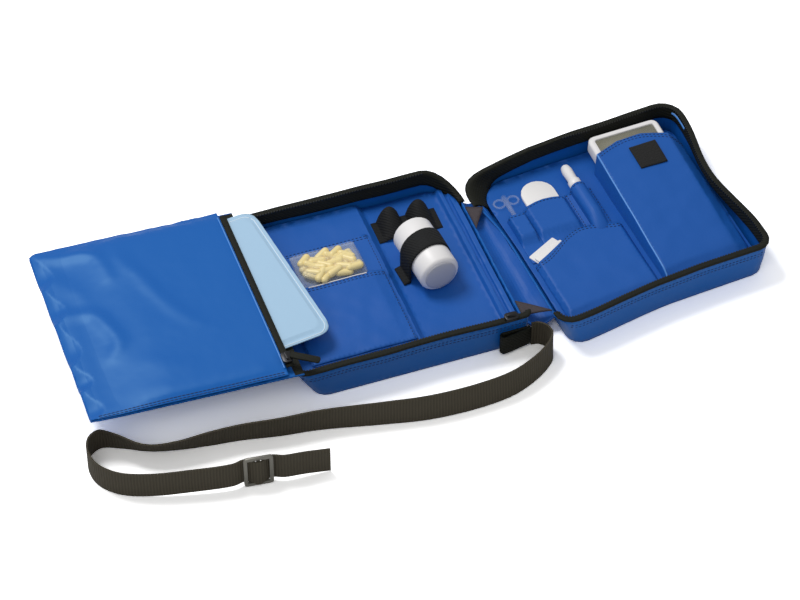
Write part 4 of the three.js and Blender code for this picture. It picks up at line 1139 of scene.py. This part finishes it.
# The far edge is turned down in facets, which meet at nicks at these shares from the back edge.
NICKS = (0.0, 0.22, 0.43, 0.68, 0.83, 1.0)
FACET_SLOPE = 0.3
FACET_LEAN = 1.7
FACET_WIDTH = 3 * MM
FACET_BULGE = 10 * MM
UNDER_SHARE = 1.1
UNDER_HEIGHT = (20 * MM, 37 * MM)

BACK_EDGE = 0.05
PUCKER_SIZE = 8 * MM
PUCKER_SHARE = 0.5
WAVE_SIZE = 55 * MM
WAVE_SHARE = 0.35
MOUTH_CALM = 24 * MM
POUCH_RIM = (30 * MM, 38 * MM)
SETTLE_REACH = 70 * MM
SETTLE_SHARE = 0.85


def fold_lines():
    """Each fold as a line on the flat pouch, with its height, half width and the box that it can reach."""
    size = POUCH_BOX[1] - POUCH_BOX[0]
    lines = []
    for shares, height, half in FOLDS:
        line = through([(across * size.x, down * size.y, 0) for across, down in shares], FOLD_STEPS)
        reach = FOLD_REACH * half * MM
        low = (min(p.x for p in line) - reach, min(p.y for p in line) - reach)
        high = (max(p.x for p in line) + reach, max(p.y for p in line) + reach)
        lines.append((line, height * MM, half * MM, low, high))
    return lines


FOLD_LINES = fold_lines()


def pouch_shares(point):
    """Where a point lies on the pouch: its share from the far edge and from the back edge."""
    low, high = POUCH_BOX
    across = (point.x - low.x) / (high.x - low.x)
    back = high.y - POUCH_SKEW * (point.x - low.x)
    front = low.y + POUCH_SKEW * (high.x - point.x)
    return across, (back - point.y) / (back - front)


def nearest(line, place):
    """The gap from a place to a line, and how many of the line's steps lie before it."""
    best = (math.inf, 0.0)
    for i, (a, b) in enumerate(zip(line, line[1:])):
        step = b - a
        part = max(0.0, min(1.0, (place - a).dot(step) / step.length_squared))
        best = min(best, ((place - a - part * step).length, i + part))
    return best


def fold_height(point):
    """Height of the soft folds: highest on their lines, and fading to both sides and ends."""
    size = POUCH_BOX[1] - POUCH_BOX[0]
    across, down = pouch_shares(point)
    place = Vector((across * size.x, down * size.y, 0))
    rise = 0.0
    for line, height, half, low, high in FOLD_LINES:
        if low[0] < place.x < high[0] and low[1] < place.y < high[1]:
            gap, along = nearest(line, place)
            fade = math.sin(math.pi * (along + 1) / (len(line) + 1)) ** 0.5
            rise += height * fade * math.exp(-((gap / half) ** 2))
    return rise


def turned_edge(point):
    """Drop of the far edge, which is turned down in flat facets between nicks."""
    down = max(0.0, min(pouch_shares(point)[1], 0.999))
    nick = max(n for n in NICKS if n <= down)
    after = NICKS[NICKS.index(nick) + 1]
    bulge = math.sin(math.pi * ((down - nick) / (after - nick)) ** FACET_LEAN)
    width = FACET_WIDTH + FACET_BULGE * bulge
    return FACET_SLOPE * max(0.0, width - (point.x - POUCH_BOX[0].x))


def crease(point):
    """Lift of the pouch's front over its plain form: folds, the turned far edge, and puckers at the back."""
    low, high = POUCH_BOX
    plan = Vector((point.x, point.y, 0))
    pucker = (1 - ease(pouch_shares(point)[1], 0, BACK_EDGE)) * grain(plan, PUCKER_SIZE, 1.1)
    wave = WAVE_SHARE * grain(plan, WAVE_SIZE, 6.1)
    mouth = ease(high.x - point.x, 0, MOUTH_CALM)
    rim = ease(point.z, *POUCH_RIM)
    far = 1 - ease(point.x - low.x, 0, SETTLE_REACH)
    settle = (low.z - point.z) * SETTLE_SHARE * far * ease(point.z, low.z, high.z)
    lift = fold_height(point) + sizes().crease * (wave + PUCKER_SHARE * pucker)
    return Vector((0, 0, mouth * rim * lift + settle - turned_edge(point)))


def under_edge(point):
    """Lets the top of the pouch's back follow the turned edge of the sheet over it."""
    return Vector((0, 0, -UNDER_SHARE * turned_edge(point) * ease(point.z, *UNDER_HEIGHT)))


def press_flat(piece):
    """Gives a soft piece of the pouch its own copy of its mesh."""
    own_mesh(piece)


GEL_BOX = box_of("gel_pack")
GEL_MIDDLE = Vector((-130, 10.5, 0)) * MM
GEL_SIZE = Vector((128, 140, 0)) * MM
GEL_TURN = math.radians(7)
GEL_WELD = 3 * MM
GEL_CORNER = 9 * MM
GEL_SPREAD = Vector((3, -9, 0)) * MM
GEL_THIN = 0.8
GEL_END = (10 * MM, 78 * MM)
WELD_POINTS = 32
WELD_STEP = 3 * MM
MOUTH_SEAM = ((-104.2, -84, 0), (-104.2, 88, 0))
FLANGE_SPARE = 11 * MM
FLANGE_THICK = 0.2 * MM
FLANGE_LIFT = 0.14 * MM


def spread(point):
    """Lets the soft gel run towards the front and out of the end that is deep in the pouch."""
    low, high = GEL_BOX
    start, end = GEL_END
    thin = GEL_THIN * (1 - ease(point.x, low.x + start, low.x + end))
    run = GEL_SPREAD * ((high.y - point.y) / (high.y - low.y))
    return run + Vector((0, 0, thin * (low.z - point.z)))


def gel_rim():
    """The weld round the gel pack's face, as a closed line."""
    turn = Matrix.Rotation(GEL_TURN, 3, "Z")
    half = GEL_SIZE / 2 - Vector((GEL_WELD, GEL_WELD, 0))
    line = []
    for i in range(WELD_POINTS + 1):
        angle = math.tau * i / WELD_POINTS + math.pi / 4
        out = Vector((math.cos(angle), math.sin(angle), 0))
        x = math.copysign(half.x - GEL_CORNER, out.x)
        y = math.copysign(half.y - GEL_CORNER, out.y)
        place = GEL_MIDDLE + turn @ (Vector((x, y, 0)) + GEL_CORNER * out)
        place.z = GEL_BOX[0].z
        line.append(place + spread(place))
    dense = []
    for a, b in zip(line, line[1:]):
        steps = max(1, int((b - a).length / WELD_STEP))
        dense += [a.lerp(b, k / steps) for k in range(steps)]
    return dense


class CASE_OT_pouch(bpy.types.Operator):
    """Fold-out pouch with its zip, slider and pull, and the gel pack in its mouth"""

    bl_idname = "case.pouch"
    bl_label = "Pouch and gel pack"

    def execute(self, context):
        back = dress("pouch_back", "pouch", finish(coated_nylon), 4 * MM, [under_edge])
        front = dress(
            "pouch_front",
            "pouch",
            finish(coated_nylon),
            3 * MM,
            [crease],
            sink=POUCH_RELAX,
            angle=POUCH_SHARP,
        )
        tape = dress("pouch_zip_tape", "pouch", finish(zip_cloth), 4 * MM)
        dress("pouch_hinge_tape", "base", finish(zip_cloth), 6 * MM)
        dress("pouch_zip_slider", "pouch_slider", finish(plated_zinc), bevel=0.4 * MM)
        dress("pouch_zip_pull", "pouch_pull", finish(zip_cloth), bevel=0.4 * MM)
        self.gel()
        # A cord of lighter nylon along the mouth's seam, beside the zip: a painted highlight.
        seam = lay(surface("pouch_front"), straight(*MOUTH_SEAM), DOWN, 0)
        piping_highlight = tube("pouch_mouth_seam_highlight", "pouch", seam, 0.55 * MM, finish(seam_highlight_nylon))
        for piece in (back, front, tape, piping_highlight, self.flange()):
            press_flat(piece)
        return {"FINISHED"}

    def gel(self):
        """The gel pack and its weld, each with its own copy of its mesh."""
        pack = dress("gel_pack", "gel", finish(gel_vinyl), 4 * MM, [spread], rounds=1)
        rim = lay(surface("gel_pack"), gel_rim(), DOWN, 0)
        weld = tube("gel_pack_weld", "gel", rim, 0.5 * MM, finish(welded_vinyl))
        for piece in (pack, weld):
            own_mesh(piece)

    def flange(self):
        """The other half of the pouch's zip tape, flat on its back's edge."""
        low, high = box_of("pouch_zip_tape")
        edge = POUCH_HINGE
        size = Vector((edge[0] - high.x, high.y - low.y + FLANGE_SPARE, FLANGE_THICK))
        middle = Vector(((edge[0] + high.x) / 2, (high.y + low.y) / 2, edge[2] + FLANGE_LIFT))
        mesh = bpy.data.meshes.new("flange")
        shape = bmesh.new()
        bmesh.ops.create_cube(shape, size=1)
        bmesh.ops.transform(shape, matrix=Matrix.LocRotScale(middle, None, size), verts=shape.verts)
        shape.to_mesh(mesh)
        shape.free()
        piece = new_object("pouch_zip_tape_lower", mesh, finish(zip_cloth))
        return attach(piece, "pouch")


# Lid contents

CONTENTS_CORNER = Vector((118.5, -94, 0)) * MM
CONTENTS_TURN = Matrix.Rotation(math.radians(3), 3, "Z")
LID_PUCKER = (0.4 * MM, 15 * MM, 2.8)
LID_FLOOR = 11.4 * MM
POCKET_ROW = 97 * MM
POCKET_TUCK = 23 * MM
TUCK_FADE = 4 * MM
TUCK_FLAT = 0.97
LAID_FADE = 5 * MM
CLOTH_THICK = 0.5 * MM
UPPER_SIDE = 0.1
PATCH_SHIFT = Vector((0, -8, -0.7)) * MM


def in_lid(x, y, z=0):
    """A place in the lid, in millimetres from its contents' corner."""
    return CONTENTS_CORNER + CONTENTS_TURN @ (Vector((x, y, z)) * MM)


def own_place(point):
    """Where a point lies from the corner of the lid's contents, in metres."""
    return CONTENTS_TURN.transposed() @ (point - CONTENTS_CORNER)


def tuck(point):
    """Draws the front of a small pocket flat and under the big one in front of it."""
    front = 1 - ease(own_place(point).y, POCKET_ROW, POCKET_ROW + TUCK_FADE)
    drop = -TUCK_FLAT * front * max(0.0, point.z - LID_FLOOR)
    return CONTENTS_TURN @ Vector((0, -POCKET_TUCK * front, drop))


def settle_front(mesh):
    """Lays the tucked part of a pocket on the lining, its upper side a cloth's thickness up."""
    for vertex in mesh.vertices:
        place = own_place(vertex.co).y
        laid = 1 - ease(place, POCKET_ROW - LAID_FADE, POCKET_ROW + TUCK_FADE)
        upper = CLOTH_THICK if vertex.normal.z > UPPER_SIDE else 0.0
        vertex.co.z += laid * (upper - max(0.0, vertex.co.z - LID_FLOOR))


def forward(point):
    """Moves the hook patch towards the front of its sloping pocket."""
    return CONTENTS_TURN @ PATCH_SHIFT


class CASE_OT_lid_pockets(bpy.types.Operator):
    """The lid's pockets"""

    bl_idname = "case.lid_pockets"
    bl_label = "Lid pockets"

    def execute(self, context):
        pucker = ruffle(*LID_PUCKER)
        for node, fields in (
            ("lid_pocket_small", [tuck]),
            ("lid_pocket_middle", [tuck]),
            ("lid_pocket_pen", [tuck]),
            ("lid_pocket_lower", [swell, pucker]),
            ("meter_pocket", [swell, pucker]),
        ):
            pocket = dress(node, "lid", finish(padded_lining), 4 * MM, fields)
            if node in ("lid_pocket_small", "lid_pocket_middle"):
                split(pocket.data, 4 * MM)
                settle_front(pocket.data)
                shade(pocket.data)
        dress("hook_patch", "lid", finish(hook_tape), 3 * MM, [swell, forward])
        return {"FINISHED"}


class CASE_OT_lid_contents(bpy.types.Operator):
    """Card, pen, sachets and the clear connector"""

    bl_idname = "case.lid_contents"
    bl_label = "Lid contents"

    def execute(self, context):
        dress("test_strip_card", "lid", finish(coated_paper), bevel=0.4 * MM)
        for node in ("pen_body", "pen_cap"):
            dress(node, "lid", finish(white_polypropylene), bevel=0.3 * MM)
        for node in ("sachet_rear", "sachet_front"):
            dress(node, "lid", finish(coated_paper), bevel=0.3 * MM)
        dress("clear_connector", "lid", finish(clear_film), angle=60)
        return {"FINISHED"}


class CASE_OT_meter(bpy.types.Operator):
    """Meter with its display, window and buttons"""

    bl_idname = "case.meter"
    bl_label = "Meter"

    def execute(self, context):
        dress("meter_case", "lid", finish(white_polypropylene), bevel=0.4 * MM)
        dress("meter_screen", "lid", finish(liquid_crystal))
        dress("meter_window", "lid", finish(clear_acrylic))
        for side in ("left", "right"):
            dress(
                "meter_button_" + side,
                "button_" + side,
                finish(keypad_rubber),
                bevel=0.5 * MM,
            )
        return {"FINISHED"}


# Stitching, with all places in millimetres

STITCH_LIFT = 0.1 * MM
# Start and end of each row on the base pockets
BASE_ROWS = [
    ((-76, 47.6, 0), (7, 47.6, 0)),
    ((-76, 45.2, 0), (7, 45.2, 0)),
    ((-75, 3.6, 0), (7, 3.6, 0)),
    ((-75, 1.4, 0), (7, 1.4, 0)),
    ((7.6, -71, 0), (8.6, 48, 0)),
]
BASE_WALL = (-90, 92)
LID_FRONT = (8, 182)
WALL_ROWS = (26.5, 23.5)
HEM_ROWS = (2, 4.4)
POUCH_ROWS = (1.2, 3)
POUCH_ROW_START = 8 * MM
POUCH_ROW_SPARE = 12 * MM
POUCH_ROW_STEPS = 60
# Start and end of each straight row on the lid's small pockets
SMALL_ROWS = [
    ((14.5, 123, 0), (28.5, 123, 0)),
    ((70.5, 133, 0), (92.5, 133, 0)),
    ((71, 78, 0), (71, 133, 0)),
    ((92, 78, 0), (92, 133, 0)),
]
# Start and width of each curved hem in the lid
LOWER_HEM = (14, 85)
MIDDLE_HEM = (32, 36)
METER_HEM = (106, 74)
# Ends of the painted highlight lines in lighter nylon: at the lid's back corner, and beside the meter's
# pocket
CORNER_HIGHLIGHT = ((180.6, 173, 30), (183.5, 151, 30))
PIPING_HIGHLIGHT = ((105.4, 4, 0), (105.4, 149, 0))


def lower_pocket_edge(across):
    """How far back the big lid pocket reaches, in millimetres, at a share of its width."""
    return 70 + 24 * ease(across, 0, 0.6) - 8 * ease(across, 0.6, 1)


def meter_pocket_edge(across):
    """How far back the meter's pocket reaches, in millimetres, at a share of its width."""
    return 150 + 40 * across - 46 * across**2


def middle_pocket_edge(across):
    """How far back the middle pocket reaches, in millimetres, at a share of its width."""
    return 129 + 4 * math.sin(math.pi * across)


def curved_hem(hem, edge, inset=0, steps=40):
    """Points in the lid along a pocket's hem, that far in from its curved edge."""
    start, wide = hem
    return [in_lid(start + wide * i / steps, edge(i / steps) - inset) for i in range(steps + 1)]


def lid_straight(start, end, steps):
    """Points in the lid from start to end, given in millimetres."""
    return [CONTENTS_CORNER + CONTENTS_TURN @ place for place in straight(start, end, steps)]


class CASE_OT_stitching(bpy.types.Operator):
    """Rows of stitches on the pockets, walls and pouch, and piped seams drawn in lighter nylon as painted
    highlights
    """

    bl_idname = "case.stitching"
    bl_label = "Stitching"

    def execute(self, context):
        self.tree = row_tree("Stitches", "bead")
        self.base_rows()
        self.lid_rows()
        self.lid_seams()
        self.pouch_rows()
        return {"FINISHED"}

    def sew(self, name, body, lines, stitch):
        """Stitches of that length along lines on one body."""
        return repeat_along(
            name,
            body,
            "blue_nylon",
            [line for line in lines if len(line) > 1],
            self.tree,
            finish(sewing_thread),
            Pitch=sizes().stitch_pitch,
            Width=sizes().thread_width,
            Height=sizes().thread_width,
            Length=stitch,
        )

    def base_rows(self):
        """Hems of the base pockets and the rows along the base's front wall."""
        pockets = surface("base_pocket_upper", "base_pocket_lower")
        rows = [lay(pockets, straight(*ends), DOWN, STITCH_LIFT) for ends in BASE_ROWS]
        wall = surface("base_shell")
        start, end = BASE_WALL
        for height in WALL_ROWS:
            line = straight((start, 0, height), (end, 0, height))
            rows.append(lay(wall, line, BACKWARD, STITCH_LIFT))
        self.sew("base_stitches", "base", rows, sizes().stitch_length)

    def lid_rows(self):
        """Hems of the lid's pockets and the rows along the lid's front wall."""
        big, tall = surface("lid_pocket_lower"), surface("meter_pocket")
        small = surface("lid_pocket_small", "lid_pocket_middle", "lid_pocket_pen")
        lines = [(big, curved_hem(LOWER_HEM, lower_pocket_edge, inset)) for inset in HEM_ROWS]
        lines += [(small, lid_straight(*ends, 20)) for ends in SMALL_ROWS]
        lines.append((small, curved_hem(MIDDLE_HEM, middle_pocket_edge, steps=20)))
        lines += [(tall, curved_hem(METER_HEM, meter_pocket_edge, inset)) for inset in HEM_ROWS]
        rows = [lay(pocket, line, DOWN, STITCH_LIFT) for pocket, line in lines]
        wall = surface("lid_shell")
        turn = LID_TURN.transposed()
        start, end = ((LID_CORNER + turn @ Vector((x * MM, 0, 0))) / MM for x in LID_FRONT)
        for height in WALL_ROWS:
            line = straight((start.x, start.y, height), (end.x, end.y, height))
            rows.append(lay(wall, line, BACKWARD, STITCH_LIFT))
        self.sew("lid_stitches", "lid", rows, sizes().stitch_length)

    def lid_seams(self):
        """Painted highlights in lighter nylon: the loop at the lid's back corner and the piping beside the
        meter's pocket.
        """
        # Both cords are painted highlights: lighter nylon where the lining's folds catch the light.
        loop = lay(surface("lid_shell"), lid_straight(*CORNER_HIGHLIGHT, 8), OUTWARD, 1.2 * MM, 0)
        tube("lid_corner_highlight", "lid", loop, 1.5 * MM, finish(seam_highlight_nylon))
        edge = lay(surface("meter_pocket"), lid_straight(*PIPING_HIGHLIGHT, 60), DOWN, 0)
        tube("meter_pocket_piping", "lid", edge, 0.8 * MM, finish(seam_highlight_nylon))

    def pouch_rows(self):
        """Two close rows along the pouch's front edge."""
        front = surface("pouch_front")
        low, high = POUCH_BOX
        wide = high.x - low.x - POUCH_ROW_SPARE
        rows = []
        for inset in POUCH_ROWS:
            places = []
            for i in range(POUCH_ROW_STEPS + 1):
                x = low.x + POUCH_ROW_START + wide * i / POUCH_ROW_STEPS
                places.append(Vector((x, low.y + POUCH_SKEW * (high.x - x) + inset * MM, 0)))
            rows.append(lay(front, places, DOWN, STITCH_LIFT))
        press_flat(self.sew("pouch_stitches", "pouch", rows, sizes().stitch_pitch))


# Stage

# Each lamp's name, place and size in metres, and power in watts
LAMPS = (
    ("Key", Vector((-0.55, 0.75, 1.75)), 0.8, 20),
    ("Fill", Vector((-1.0, -1.3, 1.6)), 1.6, 8),
)
FLOOR_HALF = 4.0
FLOOR_TONE = 0.9
FLOOR_SEEN = 2.0
SKY_LIGHT = 0.5
SKY_SEEN = 0.6


class CASE_OT_stage(bpy.types.Operator):
    """Pale floor and soft studio light"""

    bl_idname = "case.stage"
    bl_label = "Stage"

    def execute(self, context):
        scene = context.scene
        scene.view_settings.view_transform = "Standard"
        self.floor()
        self.world(scene)
        for lamp in LAMPS:
            self.lamp(scene, *lamp)
        return {"FINISHED"}

    def floor(self):
        """A white sweep that the camera sees brighter than the object does."""
        material = bpy.data.materials.new("white paper sweep")
        material.use_nodes = True
        tree = material.node_tree
        tree.nodes.clear()
        camera_ray = add_node(tree, "ShaderNodeLightPath").outputs["Is Camera Ray"]
        tone = add_node(
            tree,
            "ShaderNodeMapRange",
            {"Value": camera_ray, "To Min": FLOOR_TONE, "To Max": FLOOR_SEEN},
        )
        paper = add_node(tree, "ShaderNodeBsdfDiffuse", {"Color": tone.outputs["Result"]})
        add_node(tree, "ShaderNodeOutputMaterial", {"Surface": paper.outputs["BSDF"]})
        mesh = bpy.data.meshes.new("floor")
        corners = [(x * FLOOR_HALF, y * FLOOR_HALF, 0) for x, y in ((-1, -1), (1, -1), (1, 1), (-1, 1))]
        mesh.from_pydata(corners, [], [(0, 1, 2, 3)])
        new_object("floor", mesh, material)

    def world(self, scene):
        """An even sky, a little brighter where the camera, a mirror or glass sees it."""
        world = bpy.data.worlds.new("Studio")
        scene.world = world
        world.use_nodes = True
        tree = world.node_tree
        tree.nodes.clear()
        path = add_node(tree, "ShaderNodeLightPath").outputs
        seen = path["Is Camera Ray"]
        for ray in ("Is Glossy Ray", "Is Transmission Ray"):
            either = add_node(tree, "ShaderNodeMath", {0: seen, 1: path[ray]}, operation="MAXIMUM")
            seen = either.outputs["Value"]
        level = add_node(
            tree, "ShaderNodeMapRange", {"Value": seen, "To Min": SKY_LIGHT, "To Max": SKY_SEEN}
        )
        sky = add_node(tree, "ShaderNodeBackground", {"Strength": level.outputs["Result"]})
        add_node(tree, "ShaderNodeOutputWorld", {"Surface": sky.outputs["Background"]})

    def lamp(self, scene, name, place, size, power):
        """A round soft lamp that points at the object."""
        data = bpy.data.lights.new(name, "AREA")
        data.shape = "DISK"
        data.size = size
        data.energy = power
        lamp = bpy.data.objects.new(name, data)
        lamp.location = place
        lamp.rotation_euler = place.to_track_quat("Z", "Y").to_euler()
        scene.collection.objects.link(lamp)


OPERATORS = (
    CASE_OT_camera,
    CASE_OT_strap,
    CASE_OT_trays,
    CASE_OT_spine,
    CASE_OT_base_pockets,
    CASE_OT_bottle,
    CASE_OT_pouch,
    CASE_OT_lid_pockets,
    CASE_OT_lid_contents,
    CASE_OT_meter,
    CASE_OT_stitching,
    CASE_OT_stage,
)


class CASE_PT_panel(bpy.types.Panel):
    """Lists the making steps, colours and sizes"""

    bl_idname = "CASE_PT_panel"
    bl_label = "Glucose meter case"
    bl_space_type = "VIEW_3D"
    bl_region_type = "UI"
    bl_category = "Case"

    def draw(self, context):
        for operator in OPERATORS:
            self.layout.operator(operator.bl_idname)
        for group in (context.scene.case_colours, context.scene.case_sizes):
            for name in group.__annotations__:
                self.layout.prop(group, name)


CLASSES = (CaseColours, CaseSizes, *OPERATORS, CASE_PT_panel)


def register():
    for cls in CLASSES:
        bpy.utils.register_class(cls)
    bpy.types.Scene.case_colours = bpy.props.PointerProperty(type=CaseColours)
    bpy.types.Scene.case_sizes = bpy.props.PointerProperty(type=CaseSizes)


def unregister():
    del bpy.types.Scene.case_sizes
    del bpy.types.Scene.case_colours
    for cls in reversed(CLASSES):
        bpy.utils.unregister_class(cls)


def main():
    """Makes every piece in order."""
    register()
    for operator in OPERATORS:
        group, name = operator.bl_idname.split(".")
        getattr(getattr(bpy.ops, group), name)()


if __name__ == "__main__":
    main()
